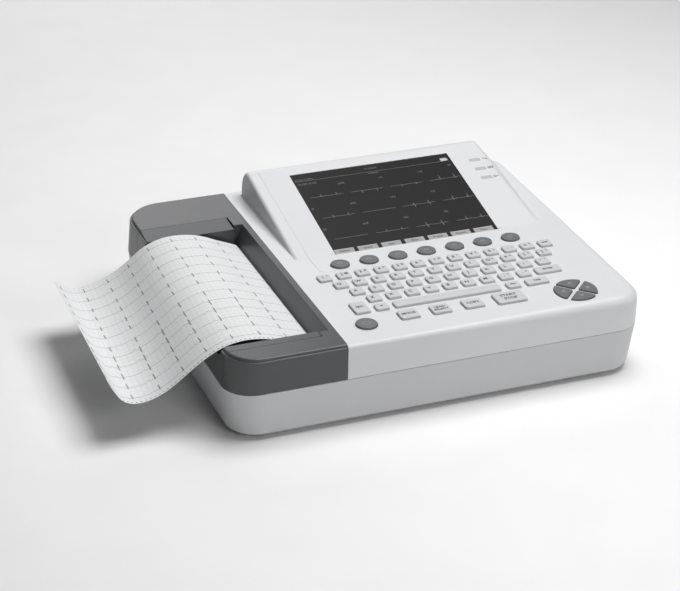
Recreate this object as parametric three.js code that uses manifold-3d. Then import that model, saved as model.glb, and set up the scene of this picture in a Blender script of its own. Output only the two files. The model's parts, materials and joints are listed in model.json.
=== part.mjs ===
// Twelve-channel electrocardiograph: desktop case, tilted display, keypad and a recorder with a paper drawer.
// Millimetres. +X right, +Y to the back, +Z up. The origin is the centre of the lower shell's flat underside.
import * as THREE from 'three';
import { mergeVertices } from 'three/addons/utils/BufferGeometryUtils.js';
import Module from 'manifold-3d';

const wasm = await Module();
wasm.setup();

// ---------- driving dimensions ----------
const WIDTH = 410;
const DEPTH = 344;
const PART_Z = 43; // parting line between the lower shell and everything above it
const DECK_Z = 76.5; // flat key deck of the white shell
const COVER_Z = 78; // top of the dark recorder casing
const WALL = 2.5;
const GAP = 0.3;
const LEFT = -WIDTH / 2;
const RIGHT = WIDTH / 2;
const FRONT = -DEPTH / 2;
const REAR = DEPTH / 2;
const CORNERS = [29, 37, 29, 29]; // plan radii: rear right, rear left, front left, front right
const DECK_FILLET = 6;
const SPLIT_X = -95.5; // seam between the dark casing and the white shell
const LEDGE_Z = 75; // ledge under the dark casing's inset top plate
const LOWER_DRAFT = { left: 3.8, right: 5.5, front: 1.2, rear: 2 }; // from the parting line down to the floor
const FLOOR = 3;

// display housing: a wedge that rises to the back
const TILT = THREE.MathUtils.degToRad(12.55);
const BEND_Y = 2.6;
const WEDGE_LEFT = -80;
const WEDGE_RIGHT_FRONT = 177;
const WEDGE_RIGHT_REAR = 169;
const WEDGE_FOOT_RIGHT = 198;
const WEDGE_TOP_Y = 145;
const WEDGE_FOOT_Y = 161;
const WEDGE_TOP_Z = DECK_Z + (WEDGE_TOP_Y - BEND_Y) * Math.tan(TILT);
const WEDGE_BACK = [[158, 97], [152, 105.5]]; // rounded back between the foot and the top edge, as (y, z)

// display, in the tilted plane: x, and s up the slope from the bend
const SCREEN = { x: 46.85, s: 66, width: 171.3, height: 130.6 };
const LAMP = { x: 156.8, width: 11.7, height: 4.4, first: 82.9, pitch: 15.4 };

// recorder
const NOTCH_X = -111.5; // slot between the drawer and the bezel
const NOTCH = 1.4;
const DRAWER_FRONT = -148;
const DRAWER_REAR = 112;
const TROUGH_FRONT = -138.5;
const TROUGH_REAR = 88;
const DRAWER_WALL_X = -200.5; // inner face of the drawer's left wall
const DRAWER_WALL_Z = 66.5;
const RECESS_FRONT = -139.8;
const RECESS_REAR = 93.3;
const RECESS_TOP_X = -102;
const RECESS_FOOT = { x: -108.3, z: 58.5 };
const PLATEN = { x: -119, z: 53.4, radius: 8, front: -134, rear: 84 };
const SHAFT_R = 2.5;
const PAPER_FRONT = -133;
const PAPER_REAR = 83;
const PAPER_THICK = 0.4;
const ROLL = { x: -160, z: 24.5, radius: 19.5, core: 8 };

// paper drive
const MODULE = 0.75;
const TEETH = { platen: 24, idler: 32, pinion: 12 };
const GEAR_Y = 97;
const GEAR_WIDTH = 6;
const PINION_ANGLE = THREE.MathUtils.degToRad(-22.5);
const BRACKET_Y = 106;
const MOTOR_HALF = 17.5; // half the side of the motor's square body
const SHAFT_FRONT = TROUGH_FRONT - 5;
const SHAFT_REAR = GEAR_Y + GEAR_WIDTH + 3;

// underside
const FOOT = { x: 165, y: 135, radius: 8, drop: 4, sink: 1.2 };
const DOOR = { x0: 22, x1: 150, y0: -155, y1: -80 };
const DOOR_SCREW = { x: (DOOR.x0 + DOOR.x1) / 2, y: DOOR.y1 - 8 };
const VENT = { x0: 20, x1: 60, first: 20, width: 3, pitch: 7, count: 6 };

// rear connectors
const INLET = { x: 130, z: 22, width: 62, height: 26 };
const STUD = { x: 78, z: 22, radius: 3 };
const MODULE_FACE = REAR + 1.2;
const SOCKET = { x: INLET.x + 14, width: 24.5, height: 17, depth: 15 };
const ROCKER = { x: INLET.x - 11, width: 13, height: 19, lean: THREE.MathUtils.degToRad(-7) };
const FUSE = { x: INLET.x - 24.5, width: 9, height: 19 };

// right connectors: three modules side by side in one opening; a mouth is its width and height
const PORTS = { y0: -48, y1: 62, z: 22, height: 20, face: 201 };
const PATIENT_PORT = { y: 37, width: 50 };
const NETWORK_PORT = { y: -5, width: 34, mouth: [11.8, 8.2], deep: 13 };
const USB_PORT = { y: -35, width: 26, mouth: [12, 4.6], deep: 12 };

// keypad
const KEY_TOP = 79;
const KEY_PITCH = 19.05;
const ROW_PITCH = 17.4;
const FIRST_KEY = { x: -68.2, y: -43.1 };
const CAP = { width: 13, height: 11.8, radius: 2 };
const KEY_GAP = 0.4; // clearance round each cap
const WEB_TOP = DECK_Z - WALL - GAP;
const WEB_BOTTOM = 71;
const ARROWS = { x: 144, y: -141.5, radius: 21.5, gap: 3.2 };
const POWER = { x: -64.9, y: -139, radius: 10 };
const FUNCTION_KEYS = { x: 45.9, y: -19.2, pitch: 29.72, count: 7, width: 18.5, height: 16.5 };

// ---------- helpers ----------
const vec = (x, y, z) => new THREE.Vector3(x, y, z);

/** A closed geometry as a solid that can be joined and cut. */
function solid(geometry) {
  const plain = geometry.clone();
  plain.deleteAttribute('normal');
  plain.deleteAttribute('uv');
  const merged = mergeVertices(plain, 1e-4);
  return new wasm.Manifold(new wasm.Mesh({
    numProp: 3,
    vertProperties: new Float32Array(merged.attributes.position.array),
    triVerts: new Uint32Array(merged.index.array),
  }));
}

function toGeometry(body) {
  const mesh = body.getMesh();
  const geometry = new THREE.BufferGeometry();
  geometry.setAttribute('position', new THREE.BufferAttribute(mesh.vertProperties, 3));
  geometry.setIndex(new THREE.BufferAttribute(mesh.triVerts, 1));
  return geometry;
}

const cut = (body, ...tools) => tools.reduce((result, tool) => result.subtract(tool), body);
const join = (body, ...others) => others.reduce((result, other) => result.add(other), body);

/** Box between two corners. */
function box(x0, x1, y0, y1, z0, z1) {
  const geometry = new THREE.BoxGeometry(x1 - x0, y1 - y0, z1 - z0);
  geometry.translate((x0 + x1) / 2, (y0 + y1) / 2, (z0 + z1) / 2);
  return solid(geometry);
}

/** Outline points as a straight block that rises along Z from 0. */
const extruded = (points, depth) => new THREE.ExtrudeGeometry(
  new THREE.Shape(points), { depth, bevelEnabled: false });

/** Outline points extruded from z0 to z1. */
function prismZ(points, z0, z1) {
  const geometry = extruded(points, z1 - z0);
  geometry.translate(0, 0, z0);
  return solid(geometry);
}

/** Profile points (x, z) extruded from y0 to y1. */
function prismY(points, y0, y1) {
  const geometry = extruded(points, y1 - y0);
  geometry.rotateX(Math.PI / 2);
  geometry.translate(0, y1, 0);
  return solid(geometry);
}

const flat = (...pairs) => pairs.map(([x, y]) => new THREE.Vector2(x, y));

/** Profile points (y, z) extruded from x0 to x1. */
function prismX(points, x0, x1) {
  const geometry = extruded(points, x1 - x0);
  geometry.applyMatrix4(new THREE.Matrix4().makeBasis(vec(0, 1, 0), vec(0, 0, 1), vec(1, 0, 0)));
  geometry.translate(x0, 0, 0);
  return solid(geometry);
}

/** Rounded rectangle, counter-clockwise from the rear right corner, with a radius for each corner. */
function roundedOutline(x0, x1, y0, y1, radii, steps) {
  const points = [];
  const corners = [[x1, y1, -1, -1], [x0, y1, 1, -1], [x0, y0, 1, 1], [x1, y0, -1, 1]];
  corners.forEach(([x, y, inX, inY], corner) => {
    const radius = radii[corner];
    for (let i = 0; i <= steps; i += 1) {
      const angle = ((corner + i / steps) * Math.PI) / 2;
      points.push(new THREE.Vector2(
        x + radius * (inX + Math.cos(angle)),
        y + radius * (inY + Math.sin(angle)),
      ));
    }
  });
  return points;
}

/** A convex counter-clockwise outline with every side moved inwards by the same distance. */
function insetOutline(points, distance) {
  const sides = points.map((point, i) => {
    const along = points[(i + 1) % points.length].clone().sub(point).normalize();
    const inwards = new THREE.Vector2(-along.y, along.x);
    return { start: point.clone().addScaledVector(inwards, distance), along };
  });
  return sides.map((side, i) => {
    const before = sides.at(i - 1);
    const reach = side.start.clone().sub(before.start).cross(side.along) / before.along.cross(side.along);
    return before.start.clone().addScaledVector(before.along, reach);
  });
}

/** Solid through matching outlines at rising heights. */
function loft(levels) {
  const count = levels[0].outline.length;
  const positions = [];
  const index = [];
  for (const { outline, z } of levels) {
    for (const point of outline) positions.push(point.x, point.y, z);
  }
  for (let level = 0; level < levels.length - 1; level += 1) {
    for (let i = 0; i < count; i += 1) {
      const a = level * count + i;
      const b = level * count + ((i + 1) % count);
      index.push(a, b, b + count, a, b + count, a + count);
    }
  }
  const last = (levels.length - 1) * count;
  for (const [a, b, c] of THREE.ShapeUtils.triangulateShape(levels[0].outline, [])) index.push(a, c, b);
  for (const [a, b, c] of THREE.ShapeUtils.triangulateShape(levels.at(-1).outline, [])) {
    index.push(last + a, last + b, last + c);
  }
  const geometry = new THREE.BufferGeometry();
  geometry.setAttribute('position', new THREE.Float32BufferAttribute(positions, 3));
  geometry.setIndex(index);
  return solid(geometry);
}

/** Case outline, drawn in by separate amounts at each side. */
function caseOutline({ left = 0, right = 0, front = 0, rear = 0, all = 0 }) {
  const radii = CORNERS.map((radius) => radius - all);
  return roundedOutline(
    LEFT + left + all, RIGHT - right - all, FRONT + front + all, REAR - rear - all, radii, 5);
}

/** Cylinder along Y. */
function cylinderY(x, z, radius, y0, y1, sides = 24) {
  const geometry = new THREE.CylinderGeometry(radius, radius, y1 - y0, sides);
  geometry.translate(x, (y0 + y1) / 2, z);
  return solid(geometry);
}

/** Cylinder along Z. */
function cylinderZ(x, y, radius, z0, z1, sides = 24) {
  const geometry = new THREE.CylinderGeometry(radius, radius, z1 - z0, sides);
  geometry.rotateX(Math.PI / 2);
  geometry.translate(x, y, (z0 + z1) / 2);
  return solid(geometry);
}

/** Places a solid from the display plane's own frame (x, s up the slope, height) in the case. */
function onSlope(geometry) {
  geometry.rotateX(TILT);
  geometry.translate(0, BEND_Y, DECK_Z);
  return solid(geometry);
}

function slopeBox(x, s, width, height, low, high) {
  const geometry = new THREE.BoxGeometry(width, height, high - low);
  geometry.translate(x, s, (low + high) / 2);
  return onSlope(geometry);
}

const assembly = new THREE.Group();

const FINISH = {
  white: { color: 0xe9eaeb, roughness: 0.5, metalness: 0 },
  grey: { color: 0xb4b6b8, roughness: 0.55, metalness: 0 },
  dark: { color: 0x6a6c6f, roughness: 0.5, metalness: 0 },
  keys: { color: 0xd5d6d7, roughness: 0.6, metalness: 0 },
  keysDark: { color: 0x6b6d70, roughness: 0.55, metalness: 0 },
  rubber: { color: 0x2c2d2f, roughness: 0.85, metalness: 0 },
  glass: { color: 0x343233, roughness: 0.15, metalness: 0 },
  lamp: { color: 0xc3cac6, roughness: 0.3, metalness: 0 },
  steel: { color: 0xb9bcc0, roughness: 0.35, metalness: 0.9 },
  alloy: { color: 0xa2a5a9, roughness: 0.45, metalness: 0.8 },
  board: { color: 0x2d6b45, roughness: 0.6, metalness: 0 },
  black: { color: 0x202124, roughness: 0.5, metalness: 0 },
  nylon: { color: 0xe8e4d6, roughness: 0.5, metalness: 0 },
  paper: { color: 0xf1f2f3, roughness: 0.8, metalness: 0 },
  brass: { color: 0xc7a35a, roughness: 0.35, metalness: 0.9 },
  battery: { color: 0x3a5d94, roughness: 0.5, metalness: 0 },
};

/** Adds a named sub-part to the assembly. */
function part(name, body, finish) {
  const mesh = new THREE.Mesh(toGeometry(body), new THREE.MeshStandardMaterial(FINISH[finish]));
  mesh.name = name;
  assembly.add(mesh);
}

// ---------- lower shell ----------
/** Lower-shell wall at a height: draft all round and a small round at the bottom edge. */
function lowerOutline(z, inset) {
  const draft = 1 - z / PART_Z;
  const edge = {};
  for (const [side, most] of Object.entries(LOWER_DRAFT)) edge[side] = most * draft;
  return caseOutline({ ...edge, all: inset });
}

function lowerTub() {
  const top = PART_Z - GAP / 2;
  const bottomRound = [[0, 4], [1.2, 1.2], [4, 0], [top, 0]];
  const outer = loft(bottomRound.map(([z, all]) => ({ z, outline: lowerOutline(z, all) })));
  const inner = loft([FLOOR, top + 1].map((z) => ({ z, outline: lowerOutline(Math.min(z, top), WALL) })));
  return outer.subtract(inner);
}

/** Rib across the paper compartment, slotted from above for the roll's spindle. */
function rollRib(y) {
  const slot = 5.4;
  const opening = join(
    box(ROLL.x - slot, ROLL.x + slot, y - 3, y + 3, ROLL.z, PART_Z),
    cylinderY(ROLL.x, ROLL.z, slot, y - 3, y + 3, 16),
  );
  return box(ROLL.x - 36, ROLL.x + 36, y - 1.5, y + 1.5, FLOOR - 0.5, PART_Z - 4).subtract(opening);
}

function bottomShell() {
  const holes = [box(DOOR.x0, DOOR.x1, DOOR.y0, DOOR.y1, -1, FLOOR + 1)];
  for (const x of [-FOOT.x, FOOT.x]) {
    for (const y of [-FOOT.y, FOOT.y]) holes.push(cylinderZ(x, y, FOOT.radius + GAP, -1, FOOT.sink, 16));
  }
  for (let i = 0; i < VENT.count; i += 1) {
    const y = VENT.first + i * VENT.pitch;
    holes.push(box(VENT.x0, VENT.x1, y, y + VENT.width, -1, FLOOR + 1));
  }
  const { x, z, width, height } = INLET;
  holes.push(box(x - width / 2, x + width / 2, REAR - 12, REAR + 2, z - height / 2, z + height / 2));
  holes.push(cylinderY(STUD.x, STUD.z, STUD.radius + GAP, REAR - 12, REAR + 2, 16));
  const portReach = PORTS.height / 2;
  holes.push(box(RIGHT - 12, RIGHT + 2, PORTS.y0, PORTS.y1, PORTS.z - portReach, PORTS.z + portReach));
  const ribs = [rollRib(PAPER_FRONT - 4), rollRib(PAPER_REAR + 4)];
  return cut(join(lowerTub(), ...ribs), ...holes);
}

part('bottom_shell', bottomShell(), 'grey');

// ---------- keys ----------
function capOutline({ x, y, width, height }, grow = 0) {
  const w = width / 2 + grow;
  const h = height / 2 + grow;
  return roundedOutline(x - w, x + w, y - h, y + h, Array(4).fill(CAP.radius + grow), 1);
}

const ovalOutline = (x, y, width, height, grow = 0) => Array.from({ length: 16 }, (_, i) => {
  const angle = (i * Math.PI) / 8;
  const reach = new THREE.Vector2(width / 2 + grow, height / 2 + grow);
  return new THREE.Vector2(x + reach.x * Math.cos(angle), y + reach.y * Math.sin(angle));
});

/** One quadrant of the arrow pad, pointing along the given direction. */
function arrowOutline(degrees, grow = 0) {
  const half = ARROWS.gap / 2 - grow;
  const radius = ARROWS.radius + grow;
  const middle = THREE.MathUtils.degToRad(degrees);
  const spread = Math.PI / 4 - Math.asin(half / radius);
  const points = [new THREE.Vector2(Math.cos(middle), Math.sin(middle)).multiplyScalar(half * Math.SQRT2)];
  for (let i = 0; i <= 6; i += 1) {
    const angle = middle - spread + (2 * spread * i) / 6;
    points.push(new THREE.Vector2(Math.cos(angle), Math.sin(angle)).multiplyScalar(radius));
  }
  return points.map((point) => point.add(new THREE.Vector2(ARROWS.x, ARROWS.y)));
}

const scaled = (outline, factor) => {
  const middle = outline.reduce((sum, p) => sum.add(p), new THREE.Vector2()).divideScalar(outline.length);
  return outline.map((p) => p.clone().sub(middle).multiplyScalar(factor).add(middle));
};

/** Key cap: straight below the deck, drawn in a little towards its top. */
function cap(outline, bottom = WEB_BOTTOM) {
  return loft([
    { z: bottom, outline },
    { z: KEY_TOP - 1, outline },
    { z: KEY_TOP, outline: scaled(outline, 0.93) },
  ]);
}

/** A single key: its cap and the flange that keeps it under the deck. */
const key = (outline, flange) => join(cap(outline), prismZ(flange, WEB_BOTTOM, WEB_TOP));

const ROWS = {
  number_row_keys: { row: 0, first: 0, count: 13 },
  upper_row_keys: { row: 1, first: 0.5, count: 12 },
  middle_row_keys: { row: 2, first: 1, count: 11 },
  lower_row_keys: { row: 3, first: 1.5, count: 9, extra: [{ x: 137.8, width: 25.8 }] },
  space_row_keys: {
    row: 4,
    first: 0,
    count: 0,
    extra: [
      { x: -39.8, width: 12.7 }, { x: 25.6, width: 106.7 },
      { x: 92.9, width: 13.2 }, { x: 117.4, width: 22.7 },
    ],
  },
};

/** Places and widths of the caps in one row. */
function rowCaps({ row, first, count, extra = [] }) {
  const y = FIRST_KEY.y - row * ROW_PITCH - (row === 4 ? 1 : 0);
  const height = row === 4 ? 11 : CAP.height;
  const caps = [];
  for (let i = 0; i < count; i += 1) {
    caps.push({ x: FIRST_KEY.x + (first + i) * KEY_PITCH, width: CAP.width });
  }
  return [...caps, ...extra].map(({ x, width }) => ({ x, y, width, height }));
}

const SINGLE_KEYS = {
  esc_key: { x: -59.4, y: -108.8, width: 14.8, height: 20.8 },
  mode_key: { x: -22.2, y: -135.1, width: 18.5, height: 15.4 },
  lead_key: { x: 9.4, y: -135.1, width: 18.5, height: 15.4 },
  copy_key: { x: 41.7, y: -135.1, width: 19.3, height: 15.4 },
  start_key: { x: 78.8, y: -135.3, width: 29.4, height: 19.5 },
};
const ARROW_KEYS = { arrow_right_key: 0, arrow_up_key: 90, arrow_left_key: 180, arrow_down_key: 270 };

const functionKeyX = (i) => FUNCTION_KEYS.x + (i - (FUNCTION_KEYS.count - 1) / 2) * FUNCTION_KEYS.pitch;

function functionKeyOutline(i, grow = 0) {
  return ovalOutline(functionKeyX(i), FUNCTION_KEYS.y, FUNCTION_KEYS.width, FUNCTION_KEYS.height, grow);
}

/** Every hole in the key deck. */
function keyHoles() {
  const outlines = [];
  for (const row of Object.values(ROWS)) {
    outlines.push(...rowCaps(row).map((place) => capOutline(place, KEY_GAP)));
  }
  outlines.push(...Object.values(SINGLE_KEYS).map((place) => capOutline(place, KEY_GAP)));
  for (const degrees of Object.values(ARROW_KEYS)) outlines.push(arrowOutline(degrees, KEY_GAP));
  for (let i = 0; i < FUNCTION_KEYS.count; i += 1) outlines.push(functionKeyOutline(i, KEY_GAP));
  outlines.push(ovalOutline(POWER.x, POWER.y, 2 * POWER.radius, 2 * POWER.radius, KEY_GAP));
  return outlines.map((outline) => prismZ(outline, DECK_Z - 5, DECK_Z + 5));
}

function addKeys() {
  for (const [name, row] of Object.entries(ROWS)) {
    const caps = rowCaps(row);
    const left = caps[0].x - caps[0].width / 2 - 1;
    const right = caps.at(-1).x + caps.at(-1).width / 2 + 1;
    const web = box(left, right, caps[0].y - 7, caps[0].y + 7, WEB_BOTTOM, WEB_TOP);
    const bodies = caps.map((place) => cap(capOutline(place), WEB_TOP - 1));
    part(name, join(web, ...bodies), 'keys');
  }
  for (const [name, place] of Object.entries(SINGLE_KEYS)) {
    part(name, key(capOutline(place), capOutline(place, 1)), 'keys');
  }
  for (const [name, degrees] of Object.entries(ARROW_KEYS)) {
    part(name, key(arrowOutline(degrees), arrowOutline(degrees, 1)), 'keysDark');
  }
  for (let i = 0; i < FUNCTION_KEYS.count; i += 1) {
    part(`function_key_${i + 1}`, key(functionKeyOutline(i), functionKeyOutline(i, 1.2)), 'keysDark');
  }
  const round = (grow) => ovalOutline(POWER.x, POWER.y, 2 * POWER.radius, 2 * POWER.radius, grow);
  part('power_button', key(round(0), round(1.2)), 'keysDark');
}

addKeys();

// ---------- upper shell ----------
/** Levels of the white case from the parting line to the rounded deck edge. */
function deckBody(inset, bottom, top) {
  const radius = DECK_FILLET;
  const levels = [{ z: bottom, outline: caseOutline({ all: inset }) }];
  for (let i = 0; i <= 3; i += 1) {
    const angle = (i * Math.PI) / 6;
    const all = inset + radius * (1 - Math.cos(angle));
    levels.push({ z: top - radius + radius * Math.sin(angle), outline: caseOutline({ all }) });
  }
  return loft(levels);
}

/** All that lies beyond the slanting right flank of the display housing. */
function beyondFlank(inset) {
  const foot = vec(WEDGE_RIGHT_FRONT, BEND_Y, DECK_Z);
  const { normal } = new THREE.Plane().setFromCoplanarPoints(
    foot,
    vec(WEDGE_FOOT_RIGHT, WEDGE_FOOT_Y, DECK_Z),
    vec(WEDGE_RIGHT_REAR, WEDGE_TOP_Y, WEDGE_TOP_Z),
  );
  const geometry = new THREE.BoxGeometry(2 * WIDTH, 2 * WIDTH, WIDTH);
  geometry.translate(0, 0, WIDTH / 2 - inset);
  geometry.applyQuaternion(new THREE.Quaternion().setFromUnitVectors(vec(0, 0, 1), normal));
  geometry.translate(foot.x, foot.y, foot.z);
  return solid(geometry);
}

/** The display housing above the deck; inset draws every face in for the hollow. */
function wedge(inset) {
  const base = DECK_Z - 8;
  const profile = flat(
    [BEND_Y, base], [WEDGE_FOOT_Y, base], [WEDGE_FOOT_Y, DECK_Z], ...WEDGE_BACK,
    [WEDGE_TOP_Y, WEDGE_TOP_Z], [BEND_Y, DECK_Z],
  );
  return prismX(insetOutline(profile, inset), WEDGE_LEFT + inset, RIGHT)
    .intersect(prismZ(caseOutline({ all: inset + 0.5 }), base - 1, WEDGE_TOP_Z + 1))
    .subtract(beyondFlank(inset));
}

function topShell() {
  const bottom = PART_Z + GAP / 2;
  const outer = join(deckBody(0, bottom, DECK_Z), wedge(0));
  const inner = join(deckBody(WALL, bottom - 5, DECK_Z - WALL), wedge(WALL));
  const seam = SPLIT_X + GAP / 2;
  const keepLeft = box(LEFT - 5, seam, FRONT - 5, REAR + 5, 0, 150);
  const flange = box(seam, seam + WALL, FRONT + 1, REAR - 1, DECK_Z - 8.5, DECK_Z - 1);
  const screen = slopeBox(SCREEN.x, SCREEN.s, SCREEN.width + 2 * GAP, SCREEN.height + 2 * GAP, -12, 5);
  const lamps = [0, 1, 2].map((i) => slopeBox(
    LAMP.x, LAMP.first + i * LAMP.pitch, LAMP.width + 2 * GAP, LAMP.height + 2 * GAP, -8, 5));
  return cut(join(cut(outer, inner), flange), keepLeft, screen, ...lamps, ...keyHoles());
}

part('top_shell', topShell(), 'white');

// ---------- dark recorder casing ----------
/** The dark casing's outer shape over the whole case plan: leaning walls, a ledge and an inset top plate. */
function darkBody(bottom) {
  return loft([
    { z: bottom, outline: caseOutline({}) },
    { z: LEDGE_Z, outline: caseOutline({ left: 1.8, rear: 0.8, all: 0.3 }) },
    { z: LEDGE_Z + 0.01, outline: caseOutline({ left: 2.6, rear: 1, all: 1.2 }) },
    { z: COVER_Z - 0.8, outline: caseOutline({ left: 3, rear: 1.8, all: 1.4 }) },
    { z: COVER_Z, outline: caseOutline({ left: 3.2, rear: 2.8, all: 2.2 }) },
  ]);
}

function recorderBezel() {
  const seam = SPLIT_X - GAP / 2;
  const innerX = seam - WALL;
  const edge = NOTCH_X + NOTCH / 2;
  const roof = COVER_Z - WALL;
  const low = 30;
  const outer = darkBody(PART_Z + GAP / 2).subtract(box(seam, RIGHT + 5, FRONT - 5, REAR + 5, low, 120));
  const hollow = deckBody(WALL + 3, low, roof);
  const drawerSpace = box(LEFT - 5, edge, DRAWER_FRONT - GAP, DRAWER_REAR + GAP, low, 120);
  const recess = prismY(flat(
    [RECESS_TOP_X, COVER_Z + 5], [RECESS_TOP_X, COVER_Z], [RECESS_FOOT.x, RECESS_FOOT.z],
    [RECESS_FOOT.x, low], [edge - 2, low], [edge - 2, COVER_Z + 5],
  ), RECESS_FRONT, RECESS_REAR);
  const behindSlope = prismY(flat(
    [innerX, low], [innerX, roof], [RECESS_TOP_X + WALL, roof], [RECESS_FOOT.x + WALL, RECESS_FOOT.z - 1],
    [RECESS_FOOT.x - 1, RECESS_FOOT.z - 1], [RECESS_FOOT.x - 1, low],
  ), RECESS_FRONT, RECESS_REAR);
  return cut(
    outer, drawerSpace, recess, behindSlope,
    hollow.intersect(box(LEFT, innerX, DRAWER_REAR + GAP + WALL, REAR, low, roof)),
    hollow.intersect(box(LEFT, innerX, FRONT, DRAWER_FRONT - GAP - WALL, low, roof)),
    box(edge - 1, innerX, RECESS_REAR + WALL, DRAWER_REAR + GAP + WALL, low, roof),
    box(edge - 1, innerX, DRAWER_FRONT - GAP - WALL, RECESS_FRONT - WALL + 1, low, roof),
    box(innerX - 1, seam + 1, FRONT + 6, REAR - 6, low, DECK_Z - 8.5),
  );
}

part('recorder_bezel', recorderBezel(), 'dark');

/** Profile of the ramp that the paper slides over, from beside the platen to the left wall. */
function rampCurve() {
  return new THREE.CubicBezierCurve(
    new THREE.Vector2(-128, 61), new THREE.Vector2(-150, 66.5),
    new THREE.Vector2(-175, 69.5), new THREE.Vector2(-198, 69.5),
  ).getPoints(6);
}

function paperDrawer() {
  const edge = NOTCH_X - NOTCH / 2;
  const bottom = PART_Z + 0.5;
  const low = 20;
  const block = darkBody(bottom).intersect(box(LEFT - 5, edge, DRAWER_FRONT, DRAWER_REAR, low, 120));
  const ramp = rampCurve();
  const above = [...flat([edge + 2, 120], [edge + 2, low], [ramp[0].x, low]), ...ramp,
    ...flat([LEFT - 5, DRAWER_WALL_Z], [LEFT - 5, 120])];
  const plate = 2.2;
  const below = [
    ...flat([ramp[0].x - plate, 57]),
    ...ramp.slice(1, -1).map((point) => new THREE.Vector2(point.x, point.y - plate - 0.3)),
    ...flat([DRAWER_WALL_X, DRAWER_WALL_Z], [DRAWER_WALL_X, low], [ramp[0].x - plate, low]),
  ];
  const lip = box(ramp[0].x - plate - 1, ramp[0].x + 1, TROUGH_FRONT, TROUGH_REAR, low, 46);
  return cut(
    block,
    prismY(above, TROUGH_FRONT, TROUGH_REAR),
    prismY(below, TROUGH_FRONT, TROUGH_REAR),
    lip,
    box(DRAWER_WALL_X, edge + 1, TROUGH_REAR + WALL, DRAWER_REAR - WALL, low, COVER_Z - WALL),
    cylinderY(PLATEN.x, PLATEN.z, SHAFT_R + GAP, TROUGH_FRONT - 6, DRAWER_REAR - WALL - 1, 16),
  );
}

part('paper_drawer', paperDrawer(), 'dark');

/** A lathe body along Y, at the given x and z; profile points are (radius, y). */
function turnedY(profile, x, z, sides = 24) {
  const geometry = new THREE.LatheGeometry(flat(...profile), sides);
  geometry.translate(x, 0, z);
  return solid(geometry);
}

part('platen_roller', turnedY([
  [0, SHAFT_FRONT], [SHAFT_R, SHAFT_FRONT], [SHAFT_R, PLATEN.front], [PLATEN.radius, PLATEN.front],
  [PLATEN.radius, PLATEN.rear], [SHAFT_R, PLATEN.rear], [SHAFT_R, SHAFT_REAR], [0, SHAFT_REAR],
], PLATEN.x, PLATEN.z), 'rubber');

/** Spur gear on an axis along Y, with a tooth or a gap facing the given angle. */
function gear(teeth, x, z, boreR, facing, toothFirst) {
  const root = (MODULE * teeth) / 2 - MODULE * 1.3;
  const tip = (MODULE * teeth) / 2 + MODULE * 0.75;
  const pitch = (2 * Math.PI) / teeth;
  const points = [];
  for (let i = 0; i < teeth; i += 1) {
    const middle = facing + (i + (toothFirst ? 0 : 0.5)) * pitch;
    for (const [side, radius] of [[-0.27, root], [-0.13, tip], [0.13, tip], [0.27, root]]) {
      const angle = middle + side * pitch;
      points.push(new THREE.Vector2(x + radius * Math.cos(angle), z + radius * Math.sin(angle)));
    }
  }
  const blank = prismY(points, GEAR_Y, GEAR_Y + GEAR_WIDTH);
  return blank.subtract(cylinderY(x, z, boreR, GEAR_Y - 1, GEAR_Y + GEAR_WIDTH + 1, 16));
}

const pitchRadius = (name) => (MODULE * TEETH[name]) / 2;
const IDLER = { x: PLATEN.x + pitchRadius('platen') + pitchRadius('idler'), z: PLATEN.z };
const PINION_REACH = pitchRadius('idler') + pitchRadius('pinion');
const PINION = {
  x: IDLER.x + PINION_REACH * Math.cos(PINION_ANGLE),
  z: IDLER.z + PINION_REACH * Math.sin(PINION_ANGLE),
};

part('platen_gear', gear(TEETH.platen, PLATEN.x, PLATEN.z, SHAFT_R + GAP, 0, true), 'nylon');
part('idler_gear', gear(TEETH.idler, IDLER.x, IDLER.z, 3 + GAP, Math.PI, false), 'nylon');
part('motor_pinion', gear(TEETH.pinion, PINION.x, PINION.z, 2 + GAP, PINION_ANGLE + Math.PI, true), 'brass');

part('drive_bracket', cut(
  join(
    box(-108, -64, BRACKET_Y, BRACKET_Y + 2, FLOOR + GAP, 68),
    box(-108, -64, BRACKET_Y, BRACKET_Y + 20, FLOOR + GAP, FLOOR + GAP + 2),
    cylinderY(IDLER.x, IDLER.z, 3, GEAR_Y - 1, BRACKET_Y + 1, 16),
  ),
  cylinderY(PINION.x, PINION.z, 11.3, BRACKET_Y - 1, BRACKET_Y + 3, 20),
), 'steel');

part('drive_motor', join(
  box(
    PINION.x - MOTOR_HALF, PINION.x + MOTOR_HALF, BRACKET_Y + 2 + GAP, BRACKET_Y + 24,
    PINION.z - MOTOR_HALF, PINION.z + MOTOR_HALF),
  cylinderY(PINION.x, PINION.z, 11, BRACKET_Y + 0.5, BRACKET_Y + 3, 20),
  cylinderY(PINION.x, PINION.z, 2, GEAR_Y - 2, BRACKET_Y + 3, 16),
), 'black');

// ---------- print head, tear bar and paper ----------
/** Heat sink with a thermal line on its left face and cooling ribs on its right. */
function printHead() {
  const left = PLATEN.x + PLATEN.radius + 0.8;
  const bodies = [box(left + 1.2, left + 4, PLATEN.front, PLATEN.rear, 44, RECESS_FOOT.z - 2.5)];
  bodies.push(box(left, left + 1.3, PLATEN.front + 2, PLATEN.rear - 2, PLATEN.z - 4, PLATEN.z + 2.5));
  for (let i = 0; i < 3; i += 1) {
    bodies.push(box(left + 3.5, left + 9, PLATEN.front, PLATEN.rear, 45 + i * 4, 46.2 + i * 4));
  }
  return join(...bodies);
}

part('print_head', printHead(), 'alloy');

function tearBar() {
  const z = RECESS_FOOT.z - 1.4;
  const edge = [];
  const bite = 6;
  for (let y = PAPER_FRONT - 3; y <= PAPER_REAR + 3 - bite; y += bite) {
    edge.push([-109, y], [-108.5, y + bite / 2]);
  }
  edge.push([-109, PAPER_REAR + 3], [-106.3, PAPER_REAR + 3], [-106.3, PAPER_FRONT - 3]);
  return prismZ(flat(...edge.reverse()), z - 0.6, z);
}

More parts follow.
